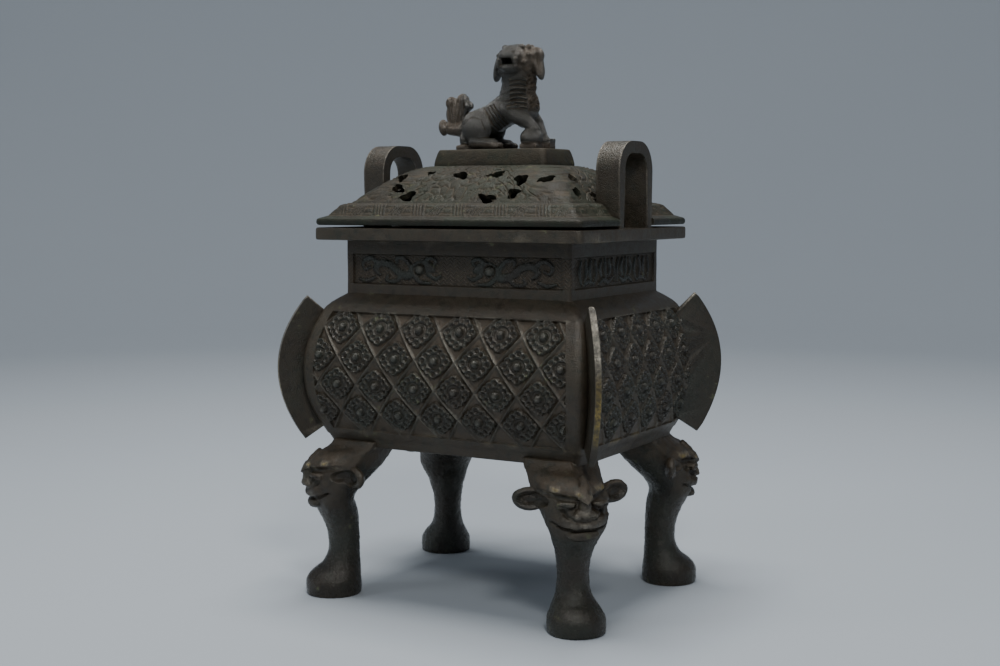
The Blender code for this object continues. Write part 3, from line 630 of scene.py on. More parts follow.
# Handles: two upright loops, square in section with softened edges, flush with the rim's short ends.
# They are cast with the rim and stand in notches of the lid.
handle_width = 0.0404
handle_depth = 0.0137
handle_top = 0.2474
handle_bar = 0.0063
handle_corner = 0.0155
handle_round = 0.001
handles = []
for sign in (-1, 1):
    foot = rim_top - rim_thickness / 2
    arches = []
    for inset in (0.0, handle_bar):
        half = handle_width / 2 - inset
        corner = handle_corner - inset
        top = handle_top - inset
        arch = [(half, foot)]
        for centre, first in ((half - corner, 0), (-half + corner, 90)):
            for i in range(11):
                angle = math.radians(first + 9 * i)
                spot = (centre + corner * math.cos(angle), top - corner + corner * math.sin(angle))
                arch.append(spot)
        arch.append((-half, foot))
        arches.append(arch)
    outline = arches[0] + arches[1][::-1]
    outer_face = rim_length / 2 - rim_thickness / 6

    def place(u, v, w):
        return Vector((sign * (outer_face - handle_depth / 2 + w), u, v))

    bar = rounded_plate(outline, place, handle_depth, handle_round)
    loop = bmesh_object(f"handle {len(handles) + 1}", bar)
    # The middle ring of each bevel gets the pale rubbed-metal colour as a painted highlight line.
    from_middle = np.abs([v.co.x for v in loop.data.vertices]) - (outer_face - handle_depth / 2)
    on_bevel = np.abs(np.abs(from_middle) - (handle_depth / 2 - 0.3 * handle_round)) < 0.25 * handle_round
    mark(loop, 0.5, 0.3 * on_bevel)
    handles.append(loop)

# Legs: four, cast solid with the belly. Each has a rounded foot, a thin ankle and, under the
# belly's corner, a calm mask with raised brows and cupped ears, and faces out along the diagonal.
foot_spacing_long = 0.1516
foot_spacing_short = 0.117
leg_faces_kept = 0.085
# Height, front, back, half width, squareness and shift to the side, in millimetres.
leg_stations = (
    (0.0, 14.0, -15.0, 14.3, 2.1, 0.0),
    (0.8, 14.5, -15.5, 14.9, 2.1, 0.0),
    (8.0, 14.6, -15.6, 14.8, 2.1, 0.0),
    (12.0, 12.0, -15.4, 12.8, 2.1, 0.0),
    (17.0, 5.8, -15.2, 10.0, 2.0, 0.0),
    (23.0, 2.7, -15.0, 8.5, 2.0, 0.0),
    (29.0, 2.1, -14.9, 8.1, 2.0, 0.0),
    (37.5, 3.6, -14.8, 9.0, 2.0, 0.0),
    (46.0, 7.6, -13.8, 11.5, 2.0, 0.0),
    (54.0, 11.0, -12.0, 15.0, 2.1, 0.0),
    (60.0, 12.2, -15.8, 16.8, 2.0, -0.6),
    (66.0, 12.0, -22.0, 18.0, 1.8, -1.4),
    (73.0, 11.5, -29.0, 19.0, 1.5, -2.4),
    (80.0, 6.4, -34.0, 19.5, 1.3, -3.0),
    (83.4, 1.4, -37.0, 20.0, 1.2, -3.0),
    (86.8, -1.5, -38.0, 20.0, 1.2, -3.0),
)


def blob(bm, centre, radii, turn=(0, 0, 0), subdivisions=3):
    """An ellipsoid, turned about X, Y and Z in degrees."""
    turned = Matrix.Identity(4)
    for degrees, axis in zip(turn, "XYZ"):
        turned = Matrix.Rotation(math.radians(degrees), 4, axis) @ turned
    matrix = Matrix.Translation(centre) @ turned @ Matrix.Diagonal((*radii, 1))
    bmesh.ops.create_icosphere(bm, subdivisions=subdivisions, radius=1, matrix=matrix)


def limb(bm, stations):
    """A round limb through stations (x, y, z, radius)."""
    for start, end in zip(stations, stations[1:]):
        a = Vector(start[:3])
        b = Vector(end[:3])
        steps = max(2, int((b - a).length / (0.3 * min(start[3], end[3]))))
        for i in range(steps + 1):
            share = i / steps
            radius = start[3] + (end[3] - start[3]) * share
            blob(bm, a.lerp(b, share), (radius, radius, radius), subdivisions=2)


def soften(piece, voxel, rounds):
    """Fuses overlapping forms into one skin and smooths it."""
    fuse = piece.modifiers.new("fuse", "REMESH")
    fuse.mode = "VOXEL"
    fuse.voxel_size = voxel
    smooth = piece.modifiers.new("smooth", "SMOOTH")
    smooth.factor = 0.5
    smooth.iterations = rounds
    settle(piece)


def folded(points):
    """The same points, all on the +Y half."""
    return np.column_stack((points[:, 0], np.abs(points[:, 1]), points[:, 2]))


def skin(piece):
    """The points and outward directions of a mesh, as arrays."""
    mesh = piece.data
    points = np.empty(len(mesh.vertices) * 3)
    mesh.vertices.foreach_get("co", points)
    normals = np.empty(len(mesh.vertices) * 3)
    mesh.vertex_normals.foreach_get("vector", normals)
    return points.reshape(-1, 3), normals.reshape(-1, 3)


def near_line(points, path):
    """Distance of each point from a line through the points of path."""
    nearest = np.full(len(points), 1e9)
    for a, b in zip(path, path[1:]):
        a = np.array(a, float)
        run = np.array(b, float) - a
        share = np.clip((points - a) @ run / (run @ run), 0, 1)
        away = np.linalg.norm(points - a - share[:, None] * run, axis=1)
        nearest = np.minimum(nearest, away)
    return nearest


def push(piece, points, normals, height):
    mesh = piece.data
    moved = points + normals * height[:, None]
    mesh.vertices.foreach_set("co", moved.ravel())
    mesh.update()


def station_at(z):
    """The leg's outline at a height, eased between its stations."""
    heights = [s[0] for s in leg_stations]
    i = min(max(int(np.searchsorted(heights, z)) - 1, 0), len(heights) - 2)
    before = leg_stations[max(i - 1, 0)]
    start, end = leg_stations[i], leg_stations[i + 1]
    after = leg_stations[min(i + 2, len(heights) - 1)]
    t = (z - start[0]) / (end[0] - start[0])
    values = []
    for k in range(1, 6):
        m0 = (end[k] - before[k]) / max(end[0] - before[0], 0.1) * (end[0] - start[0])
        m1 = (after[k] - start[k]) / max(after[0] - start[0], 0.1) * (end[0] - start[0])
        from_start = (2 * t**3 - 3 * t**2 + 1) * start[k] + (t**3 - 2 * t**2 + t) * m0
        values.append(from_start + (3 * t**2 - 2 * t**3) * end[k] + (t**3 - t**2) * m1)
    return values


def brow_height(aside):
    """Height of the mask's brow, this far to either side of its middle."""
    return np.interp(aside, [0, 2.4, 5, 9, 13, 18, 30], [67.6, 70.0, 71.4, 71.9, 72.2, 73.4, 75])


def make_leg():
    """One leg facing +X, in millimetres from the ground under the middle of its foot."""
    bm = bmesh.new()
    count = 72
    heights = [0.0, 0.4, 0.8] + list(np.linspace(2, 86.8, 58))
    levels = []
    for z in heights:
        front, back, half, squareness, aside = station_at(z)
        ring = []
        for i in range(count):
            angle = 2 * math.pi * i / count
            c = math.cos(angle)
            s = math.sin(angle)
            x = (front + back) / 2 + (front - back) / 2 * math.copysign(abs(c) ** (2 / squareness), c)
            y = aside + half * math.copysign(abs(s) ** (2 / squareness), s)
            ring.append(bm.verts.new((x, y, z)))
        levels.append(ring)
    for low, high in zip(levels, levels[1:]):
        for i in range(count):
            j = (i + 1) % count
            bm.faces.new((low[i], low[j], high[j], high[i]))
    bm.faces.new(list(reversed(levels[0])))
    bm.faces.new(levels[-1])
    blob(bm, (12.6, 0, 67.4), (3.4, 2.9, 7.6), turn=(0, -14, 0))
    blob(bm, (13.0, 0, 62.6), (4.0, 5.4, 3.2))
    blob(bm, (9.4, 0, 59.6), (5.2, 12.4, 5.6))
    blob(bm, (9.6, 0, 51.6), (3.9, 8.8, 3.4))
    limb(bm, ((6.8, 0.8, 79.4, 1.8), (10.0, 0.6, 75.0, 2.0), (12.0, 0.2, 70.0, 2.0)))
    for sign in (-1, 1):
        blob(bm, (13.2, sign * 4.2, 61.6), (2.7, 2.4, 2.1))
        blob(bm, (9.8, sign * 9.0, 67.4), (3.0, 5.2, 2.6), turn=(sign * -10, 0, sign * 26))
        lip = [(13.2, 0, 57.4, 2.1), (12.2, sign * 5, 57.2, 2.1), (10.0, sign * 9.4, 57.8, 2.0)]
        lip += [(7.4, sign * 11.8, 59.0, 1.8), (4.6, sign * 13.8, 60.6, 1.2)]
        limb(bm, lip)
        lift = 0.9 * sign
        limb(bm, ((-2, sign * 14, 68.4, 3.6), (-6, sign * 18, 68.8 + lift, 3.8)))
        blob(bm, (-8.8, sign * 22.2, 68.4 + lift), (3.8, 9.0, 6.0), turn=(sign * 4, 0, sign * 20))
    leg = bmesh_object("leg", bm)
    soften(leg, 0.45, 3)
    points, normals = skin(leg)
    height = np.zeros(len(points))
    fold = folded(points)
    front = points[:, 0] > 1
    seen = fold * np.array([0, 1, 1])

    def line(path, width, depth):
        """A groove or a ridge along points (y, z) of the face, the same on both halves."""
        nonlocal height
        height += depth * ridge(near_line(seen, [(0, *spot) for spot in path]), 0, width) * front

    above = points[:, 2] - brow_height(fold[:, 1])
    facing = ramp(points[:, 0], -6.0, 2.0)
    height += 1.5 * ramp(above, -0.35, 0.35) * ramp(above, 12.0, 3.0) * facing
    height -= 1.1 * ridge(above, -1.3, 1.1) * facing * ramp(fold[:, 1], 2.2, 3.6)
    line([(0, 54.6), (5, 54.5), (9.6, 55.0), (12.6, 56.2), (15.2, 58.2)], 0.55, -1.6)
    line([(0, 59.6), (3.4, 59.4), (6.6, 60.2), (9.0, 62.0), (10.6, 64.4)], 0.9, -1.4)
    line([(4.6, 65.6), (8.4, 65.6), (12.8, 66.8)], 0.6, -1.2)
    line([(4.8, 69.4), (8.6, 69.8), (12.8, 69.6)], 0.5, -0.5)
    line([(2.6, 60.9), (3.9, 61.2)], 0.7, -1.4)
    line([(0.0, 48.6), (6.0, 49.0), (9, 51)], 0.7, -0.4)
    side = np.sign(points[:, 1])
    cup = ((fold[:, 1] - 22.8) / 6.8) ** 2 + ((points[:, 2] - 68.6 - 0.9 * side) / 4.4) ** 2
    height -= 3.3 * ramp(cup, 1.05, 0.5) * ramp(normals[:, 0], 0.0, 0.35)
    rough = ramp(points[:, 2], 10, 30)
    height += 0.2 * lumps(points, 5.0, 5) + (0.1 + 0.12 * rough) * lumps(points, 1.9, 6)
    height += 0.12 * lumps(points, 0.9, 7)
    height *= ramp(points[:, 2], 0.2, 1.6)
    push(leg, points, normals, height)
    thinned(leg, leg_faces_kept)
    points, _ = skin(leg)
    fold = folded(points)
    above = points[:, 2] - brow_height(fold[:, 1])
    blotches = ramp(lumps(points, 3.4, 8), 0.2, 0.45)
    out_front = ramp(points[:, 0], -8.0, 0.0)
    worn_brow = ridge(above, 1.4, 1.6) * blotches * out_front
    rubbed_and_highlight = np.zeros(len(points))
    nose, nostril = ((15.6, 0, 64), 2.4), ((14.6, 4.2, 61.6), 2.0)
    lip, lip_side = ((14.6, 0, 57.4), 2.6), ((11, 6, 56.6), 3.0)
    for spot, size in (nose, nostril, lip, lip_side):
        rubbed_and_highlight = np.maximum(rubbed_and_highlight, 0.4 * ridge(np.linalg.norm(fold - np.array(spot), axis=1), 0, size))
    rubbed_and_highlight = np.maximum(rubbed_and_highlight, worn_brow)
    on_mask = ramp(points[:, 2], 47, 53) * ramp(points[:, 0], -8, 2)
    soiled = 0.15 + 0.6 * ramp(points[:, 2], 70, 76) + 0.35 * on_mask
    mark(leg, np.clip(soiled, 0, 1), rubbed_and_highlight, worn_brow, 1.0)
    return leg


leg = make_leg()
legs = []
for sign_x, sign_y in ((1, -1), (1, 1), (-1, 1), (-1, -1)):
    copy = placed(f"leg {len(legs) + 1}", leg.data)
    copy.location = (sign_x * foot_spacing_long / 2, sign_y * foot_spacing_short / 2, 0)
    copy.rotation_euler = (0, 0, math.atan2(sign_y, sign_x))
    copy.scale = (mm, -sign_x * sign_y * mm, mm)
    legs.append(copy)
combine(vessel, "UNION", blades + handles + legs)
bpy.data.objects.remove(leg, do_unlink=True)
finish_surface(vessel, 42)

# Patina of the vessel: near-black bronze with a grey-green cast, brown earth left in the hollows,
# and brassy metal where hands and cloths have rubbed the high edges. The same pale metal is also
# laid as a painted highlight: partly on the sharp edges, and on the handles' bevels, the blades'
# edges and one diagonal of the belly's lattice.


def node(tree, kind, inputs=None, **settings):
    made = tree.nodes.new(kind)
    for name, value in settings.items():
        setattr(made, name, value)
    for name, value in (inputs or {}).items():
        socket = made.inputs[name]
        if isinstance(value, bpy.types.NodeSocket):
            tree.links.new(value, socket)
        else:
            socket.default_value = value
    return made


def graded(tree, value, low, high, start=0.0, end=1.0):
    """Stretches a value from low..high to start..end, held at both ends."""
    made = node(
        tree,
        "ShaderNodeMapRange",
        {"Value": value, "From Min": low, "From Max": high, "To Min": start, "To Max": end},
        interpolation_type="SMOOTHSTEP",
    )
    return made.outputs["Result"]


def reckoned(tree, operation, a, b):
    return node(tree, "ShaderNodeMath", {0: a, 1: b}, operation=operation).outputs[0]


def product(tree, a, b):
    return reckoned(tree, "MULTIPLY", a, b)


def blend(tree, share, under, over):
    return node(tree, "ShaderNodeMix", {0: share, 6: under, 7: over}, data_type="RGBA").outputs[2]


def cloudy(tree, place, size, detail):
    """Random cloud of about this size in metres, from 0 to 1."""
    inputs = {"Vector": place, "Scale": 1 / size, "Detail": detail, "Roughness": 0.6}
    return node(tree, "ShaderNodeTexNoise", inputs).outputs["Fac"]


neck_fret_pitch = 0.0021
bloom_green = (0.115, 0.125, 0.065)


def zigzag_fret(tree, place, low, high):
    """Fine zigzag lines between two heights: 1 on a line."""
    x, y, z = node(tree, "ShaderNodeSeparateXYZ", {0: place}).outputs
    teeth = reckoned(tree, "PINGPONG", reckoned(tree, "ADD", x, y), neck_fret_pitch)
    climbing = reckoned(tree, "ADD", z, teeth)
    lines = reckoned(tree, "PINGPONG", climbing, neck_fret_pitch / 2)
    lines = graded(tree, lines, 0.0004, 0.0008)
    inside = product(tree, graded(tree, z, low, low + 0.0003), graded(tree, z, high, high - 0.0003))
    return product(tree, lines, inside)


def patinate(
    piece, name, dark, green, earth, worn_and_highlight, yellow, earth_amount, wear_amount, dull, bright, wax, fret=None
):
    """Gives a piece its patinated bronze.

    dull is its roughness in the hollows and bright on the rubbed edges and painted highlights. fret holds
    the two heights that the neck's zigzag lines lie between.
    """
    material = bpy.data.materials.new(name)
    material.use_nodes = True
    tree = material.node_tree
    shader = tree.nodes["Principled BSDF"]
    place = node(tree, "ShaderNodeTexCoord").outputs["Object"]
    marks = node(tree, "ShaderNodeAttribute", attribute_name="patina")
    soiled, rubbed_and_highlight, brassy = node(tree, "ShaderNodeSeparateColor", {0: marks.outputs["Color"]}).outputs
    carved = marks.outputs["Alpha"]
    geometry = node(tree, "ShaderNodeNewGeometry")
    patches = cloudy(tree, place, 0.02, 5)
    mottle = cloudy(tree, place, 0.004, 4)
    specks = cloudy(tree, place, 0.0014, 3)
    grain = cloudy(tree, place, 0.0007, 3)
    hollow = product(tree, graded(tree, geometry.outputs["Pointiness"], 0.5, 0.45, 0.0, 0.6), carved)
    # Sharp edges get the pale metal colour: worn metal, partly a painted highlight.
    edge = product(tree, graded(tree, geometry.outputs["Pointiness"], 0.54, 0.62), carved)
    colour = blend(tree, graded(tree, patches, 0.4, 0.62), (*dark, 1), (*green, 1))
    laid = reckoned(tree, "MAXIMUM", soiled, hollow)
    soil = product(tree, product(tree, laid, graded(tree, mottle, 0.3, 0.58, 0.35, 1.0)), earth_amount)
    colour = blend(tree, soil, colour, (*earth, 1))
    crust = product(tree, graded(tree, specks, 0.6, 0.72, 0.0, 0.5), graded(tree, patches, 0.35, 0.65))
    colour = blend(tree, crust, colour, (*(0.6 * c for c in dark), 1))
    stains = cloudy(tree, place, 0.03, 2)
    bloom = product(tree, graded(tree, mottle, 0.6, 0.68, 0.0, 0.75), graded(tree, stains, 0.56, 0.66))
    colour = blend(tree, bloom, colour, (*bloom_green, 1))
    rub_and_highlight = reckoned(tree, "MAXIMUM", rubbed_and_highlight, product(tree, edge, wear_amount))
    rub_and_highlight = product(tree, rub_and_highlight, graded(tree, specks, 0.34, 0.62, 0.25, 1.0))
    metal = blend(tree, brassy, (*worn_and_highlight, 1), (*yellow, 1))
    colour = blend(tree, rub_and_highlight, colour, metal)
    if fret:
        lines = product(tree, zigzag_fret(tree, place, *fret), graded(tree, soiled, 0.15, 0.4, 0.0, 1.8))
        colour = blend(tree, product(tree, lines, 0.35), colour, (*earth, 1))
    tree.links.new(colour, shader.inputs["Base Color"])
    tree.links.new(graded(tree, rub_and_highlight, 0.0, 1.0, 0.15, 0.95), shader.inputs["Metallic"])
    shader.inputs["Specular IOR Level"].default_value = wax
    clean = graded(tree, soiled, 0.1, 0.4, 0.62 * dull, dull)
    gloss = node(tree, "ShaderNodeMix", {0: graded(tree, rub_and_highlight, 0.0, 0.7), 2: clean, 3: bright}).outputs[0]
    uneven = graded(tree, mottle, 0.3, 0.7, 0.8, 1.2)
    tree.links.new(product(tree, gloss, uneven), shader.inputs["Roughness"])
    lumpy = reckoned(tree, "ADD", grain, mottle)
    if fret:
        lumpy = reckoned(tree, "ADD", lumpy, lines)
    bump = node(tree, "ShaderNodeBump", {"Height": lumpy, "Strength": 0.65, "Distance": 0.0006})
    tree.links.new(bump.outputs["Normal"], shader.inputs["Normal"])
    piece.data.materials.clear()
    piece.data.materials.append(material)


patinate(
    vessel,
    "dark bronze patina",
    dark=(0.020, 0.017, 0.012),
    green=(0.022, 0.025, 0.018),
    earth=(0.074, 0.054, 0.034),
    worn_and_highlight=(0.50, 0.46, 0.38),
    yellow=(0.42, 0.31, 0.10),
    earth_amount=0.9,
    wear_amount=0.35,
    dull=0.42,
    bright=0.3,
    wax=0.5,
    fret=(neck_panel_low + panel_draft, neck_panel_high - panel_draft),
)
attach(vessel, "root")
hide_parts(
    "belly", "neck", "handle_right", "handle_left",
    "leg_front_right", "leg_back_right", "leg_back_left", "leg_front_left",
)

# Lid: the second casting, hollow, with a greenish flange, an ogee band of slanted key-fret cuts,
# a dome of scrolls pierced with smoke holes, and a plain plinth. Four lugs locate it in the mouth.
lid_lift = 0.0013
lid_flange_thickness = 0.0036
lid_edge_inset = 0.0002
lid_band_width = 0.0138
lid_band_height = 0.0083
lid_wall = 0.0032
dome_height = 0.0201
plinth_length = 0.0706
plinth_width = 0.0362
plinth_height = 0.0089
plinth_slope = 0.0026
handle_clearance = 0.0009
lug_length = 0.0150
lug_drop = 0.0050
lug_thickness = 0.0040
lug_offset = 0.0300
mouth_clearance = 0.0006
piece_gap = 0.0003
band_shape = ((0.0, 0.0), (0.06, 0.0), (0.33, 0.17), (0.5, 0.5), (0.65, 0.84), (0.84, 0.98), (1.0, 1.0))
smoke_holes = (
    (
        (-0.82, 0.46, 4.4, 3.0, 50),
        (-0.67, 0.22, 4.6, 2.8, 35),
        (-0.49, 0.09, 4.6, 3.4, -20),
        (-0.54, 0.56, 2.6, 1.8, 10),
        (-0.12, 0.49, 5.0, 3.2, 20),
        (0.30, 0.50, 4.8, 3.0, -15),
        (0.59, 0.38, 4.8, 3.6, 50),
        (0.52, 0.14, 3.8, 3.4, 60),
        (0.28, 0.06, 6.2, 3.0, 22),
        (0.86, 0.40, 4.6, 3.0, -40),
    ),
    (
        (-0.60, 0.40, 4.8, 3.0, -30),
        (-0.72, 0.14, 4.4, 3.0, -40),
        (-0.36, 0.10, 3.4, 2.6, 10),
        (0.50, 0.38, 4.6, 3.0, 30),
    ),
)
lid_half_x = rim_length / 2 - lid_edge_inset
lid_half_y = rim_width / 2 - lid_edge_inset
lid_under = rim_top + lid_lift
flange_top = lid_under + lid_flange_thickness
dome_x = lid_half_x - lid_band_width
dome_y = lid_half_y - lid_band_width
dome_foot = flange_top + lid_band_height
plinth_foot = dome_foot + dome_height
plinth_top = plinth_foot + plinth_height
lid_cells = ((360, 280, 180, 150), 3, 6)
band_levels = 34
dome_levels = 74
lid_faces_kept = 0.6
band_fret_length = 12.4
band_fret_depth = 0.32
scroll_depth = 0.55
dome_drawn_rise = 36
lotus_petals = 9
lotus_places = (
    (-0.2, 0.0), (-0.75, 0.1), (0.45, 0.05), (0.15, 0.55), (-0.5, 0.6), (0.85, 0.25), (0.7, 0.75)
)


def dome_at(share, inset, lower):
    """Half length, half width, corner and height of the dome, a share of the way up."""
    wide_x = dome_x + (plinth_length / 2 - dome_x) * share - inset
    wide_y = dome_y + (plinth_width / 2 - dome_y) * share - inset
    z = dome_foot + dome_height * (1 - (1 - share) ** 2) - lower
    return wide_x, wide_y, rim_corner + 9 * mm * math.sin(math.pi * share), z


def band_cuts(u, up):
    """A key-fret of thin cuts: groups of three slanting bars with level lines between them."""
    local = (u / band_fret_length % 1 - 0.5) * band_fret_length
    lean = np.where(np.floor(u / band_fret_length) % 2 == 0, 1.0, -1.0)
    slanted = local + lean * (up - 0.5) * 3.4
    bars = ridge(np.abs((slanted / 1.9 + 0.5) % 1 - 0.5), 0, 0.17) * (np.abs(slanted) < 2.8)
    level = ridge((up * 3) % 1, 0.5, 0.16) * (np.abs(slanted) > 3.2)
    turn = ridge(np.abs(np.abs(slanted) - 4.2), 0, 0.3)
    ends = ridge(np.abs(up - 0.5), 0.5, 0.05)
    cuts = np.maximum(np.maximum(bars, level), np.maximum(turn, ends))
    return -band_fret_depth * cuts * (np.abs(up - 0.5) < 0.58)


def dome_scrolls(u, share, half, side):
    """Thin cuts that draw broad lotuses of curled petals, in several rounds."""
    v = share * dome_drawn_rise
    nearest = np.full_like(u, 1e9)
    turned = np.zeros_like(u)
    for i, (across, up) in enumerate((lotus_places, lotus_places[::2])[side % 2]):
        cu = across * half
        cv = up * dome_drawn_rise
        away = np.hypot(u - cu, (v - cv) * 1.25)
        angle = np.arctan2(v - cv, u - cu) * (1 if i % 2 else -1)
        closer = away < nearest
        nearest = np.where(closer, away, nearest)
        turned = np.where(closer, angle, turned)
    bent = turned + 0.07 * nearest
    petal = np.abs((bent * lotus_petals / (2 * np.pi)) % 1 - 0.5)
    vein = petal * 2 * np.pi * np.maximum(nearest, 0.5) / lotus_petals
    rounds = nearest / (5.0 + 2.2 * petal)
    outline = np.abs(rounds - np.round(rounds)) * 5.6
    cuts = np.maximum(ridge(vein, 0, 0.45), ridge(outline, 0, 0.5) * (rounds > 0.6))
    edge_fade = ramp(share, 0.02, 0.05) * ramp(share, 0.97, 0.93)
    return -scroll_depth * cuts * ramp(nearest, 2.4, 3.6) * edge_fade


def make_lid_shell():
    walls = Walls(*lid_cells)
    marks = []

    def add(half_x, half_y, corner, z, kind, at):
        walls.ring(half_x, half_y, corner, z, 2 * corner)
        marks.append((kind, at))

    edge = lid_flange_thickness / 4
    add(lid_half_x - edge, lid_half_y - edge, rim_corner, lid_under, 0, 0)
    for degrees in (-60, -30, 0, 30, 60, 85):
        angle = math.radians(degrees)
        inset = edge * (1 - math.cos(angle))
        z = lid_under + lid_flange_thickness / 2 * (1 + math.sin(angle))
        add(lid_half_x - inset, lid_half_y - inset, rim_corner, z, 0, 0)
    xs, zs = zip(*band_shape)
    spread = np.linspace(-0.06, 0.06, 7)
    for i in range(1, band_levels):
        across = 0.07 + 0.93 * i / band_levels
        up = float(np.mean(np.interp(np.clip(across + spread, 0, 1), xs, zs)))
        inset = lid_band_width * across
        z = flange_top + lid_band_height * up
        add(lid_half_x - inset, lid_half_y - inset, rim_corner, z, 1, across)
    for i in range(dome_levels + 1):
        share = i / dome_levels
        add(*dome_at(share, 0, 0), 2, share)
    for inset, z in ((0.0, 1.2), (0.5, 4.0), (1.2, 6.6), (1.75, 8.1), (2.1, 8.7), (2.6, 8.9)):
        half_x = plinth_length / 2 - inset * mm
        add(half_x, plinth_width / 2 - inset * mm, rim_corner, plinth_foot + z * mm, 3, 0)
    walls.gather()
    kind = np.repeat(np.array([m[0] for m in marks])[:, None], walls.u.shape[1], axis=1)
    at = np.repeat(np.array([m[1] for m in marks], float)[:, None], walls.u.shape[1], axis=1)
    u = walls.u / mm
    points = walls.points / mm
    height = np.zeros_like(u)
    soiled = np.array([0.2, 0.35, 0.75, 0.6])[kind]
    for side in range(4):
        on_side = walls.side == side
        band = on_side & (kind == 1)
        height[band] = band_cuts(u[band], (at[band] - 0.34) / 0.5)
        dome = on_side & (kind == 2)
        half = (dome_x, dome_y)[side % 2] / mm * (1 - 0.5 * at[dome])
        height[dome] = dome_scrolls(u[dome], at[dome], half, side)
        soiled[band] = 0.2 - 2.0 * height[band]
        soiled[dome] = 0.3 - 1.2 * height[dome]
    flat = points.reshape(-1, 3)
    rough = 0.09 * lumps(flat, 5.0, 11) + 0.05 * lumps(flat, 1.7, 12)
    height += rough.reshape(height.shape) * np.where(kind == 0, 0.4, 1.0) * (kind != 3)
    lift = np.where((kind == 1) | (kind == 2), 1.0, 0.0)
    direction = walls.normals * (1 - 0.5 * lift[..., None]) + np.array([0, 0, 1]) * lift[..., None] * 0.8
    points = points + direction * height[..., None]
    count = walls.u.shape[1]
    outer = points.reshape(-1, 3) * mm

    hollow = Walls(*lid_cells)
    hollow.ring(dome_x - lid_wall, dome_y - lid_wall, rim_corner, lid_under, 2 * rim_corner)
    for share in (0.0, 0.12, 0.28, 0.46, 0.7, 1.0):
        half_x, half_y, corner, z = dome_at(share, lid_wall, lid_wall * (0.5 + 0.5 * share))
        hollow.ring(half_x, half_y, corner, z, 2 * corner)
    inset = plinth_slope + lid_wall
    half_x = plinth_length / 2 - inset
    top = plinth_top - lid_wall
    hollow.ring(half_x, plinth_width / 2 - inset, rim_corner / 2, top, rim_corner)
    hollow.gather()
    inner = hollow.points.reshape(-1, 3)

    faces = walls.faces(closed=False)
    last = len(outer) - count
    faces.append(tuple(range(last, last + count)))
    start = len(outer)
    for face in hollow.faces(closed=False):
        faces.append(tuple(start + i for i in reversed(face)))
    end = start + len(inner) - count
    faces.append(tuple(reversed(range(end, end + count))))
    for i in range(count):
        j = (i + 1) % count
        faces.append((j, i, start + i, start + j))
    shell = made_object("lid", np.concatenate([outer, inner]), faces)
    earth = np.concatenate([np.clip(soiled, 0, 1).ravel(), np.full(len(inner), 0.9)])
    carved = np.concatenate([(kind != 3).ravel(), np.zeros(len(inner))])
    mark(shell, earth, 0.0, 0.0, carved)
    return thinned(shell, lid_faces_kept)


def slab(bm, outline, place, low, high):
    bottom = [bm.verts.new(place(u, v, low)) for u, v in outline]
    top = [bm.verts.new(place(u, v, high)) for u, v in outline]
    count = len(outline)
    for i in range(count):
        j = (i + 1) % count
        bm.faces.new((bottom[i], bottom[j], top[j], top[i]))
    bm.faces.new(list(reversed(bottom)))
    bm.faces.new(top)


def upright(u, v, w):
    return Vector((u, v, w))


def box(bm, low, high):
    outline = [(low[0], low[1]), (high[0], low[1]), (high[0], high[1]), (low[0], high[1])]
    slab(bm, outline, upright, low[2], high[2])


def make_lugs():
    """Four steps under the flange: each rests on the rim and hangs a tongue into the mouth."""
    bm = bmesh.new()
    mouth = neck_length / 2 - mouth_wall
    root = flange_top - lid_flange_thickness / 2
    tongue_out = mouth - mouth_clearance
    tongue_in = tongue_out - lug_thickness
    pad_out = mouth + lug_thickness
    rest = rim_top + piece_gap
    step = (
        (tongue_in, rim_top - lug_drop),
        (tongue_out, rim_top - lug_drop),
        (tongue_out, rest),
        (pad_out, rest),
        (pad_out, root),
        (tongue_in, root),
    )
    for sign_x in (-1, 1):
        for sign_y in (-1, 1):

            def place(u, v, w):
                return Vector((sign_x * u, sign_y * lug_offset + w, v))

            slab(bm, step, place, -lug_length / 2, lug_length / 2)
    return bmesh_object("lugs", bm)


def make_notches():
    bm = bmesh.new()
    inner_face = rim_length / 2 - rim_thickness / 6 - handle_depth - handle_clearance
    half = handle_width / 2 + handle_clearance
    for sign in (-1, 1):
        low, high = sorted((sign * inner_face, sign * rim_length))
        box(bm, (low, -half, rim_top - rim_thickness), (high, half, handle_top))
    return bmesh_object("notches", bm)


def make_holes():
    """Leaf-shaped cutters, one object for the long sides and one for the short ones."""
    cutters = (bmesh.new(), bmesh.new())
    for side in range(4):
        angle = math.radians(-90 + 90 * side)
        outward = Vector((math.cos(angle), math.sin(angle), 0))
        along = Vector((-outward.y, outward.x, 0))
        for across, share, length, width, tilt in smoke_holes[side % 2]:
            half_x, half_y, _, z = dome_at(share, 0, 0)
            next_z = dome_at(share + 0.05, 0, 0)[3]
            half = (half_x, half_y)[side % 2]
            distance = (half_y, half_x)[side % 2]
            gain = (dome_y - plinth_width / 2, dome_x - plinth_length / 2)[side % 2]
            slope = (next_z - z) / (0.05 * gain)
            normal = (outward * slope + Vector((0, 0, 1))).normalized()
            uphill = -normal.cross(along)
            centre = outward * distance + along * across * half + Vector((0, 0, z))
            turn = math.radians(tilt)
            outline = []
            for i in range(20):
                spin = 2 * math.pi * i / 20
                torn = 1.0 + 0.2 * math.cos(3 * spin + 9 * across) + 0.1 * math.cos(5 * spin + 7 * share)
                a = length * mm * math.cos(spin) * torn
                b = width * mm * math.sin(spin) * torn * (1.0 + 0.25 * math.cos(spin))
                outline.append(
                    (a * math.cos(turn) - b * math.sin(turn), a * math.sin(turn) + b * math.cos(turn))
                )

            def place(u, v, w):
                return centre + along * u + uphill * v + normal * w

            slab(cutters[side % 2], outline, place, -2.2 * lid_wall, lid_wall)
    return [bmesh_object("long holes", cutters[0]), bmesh_object("short holes", cutters[1])]


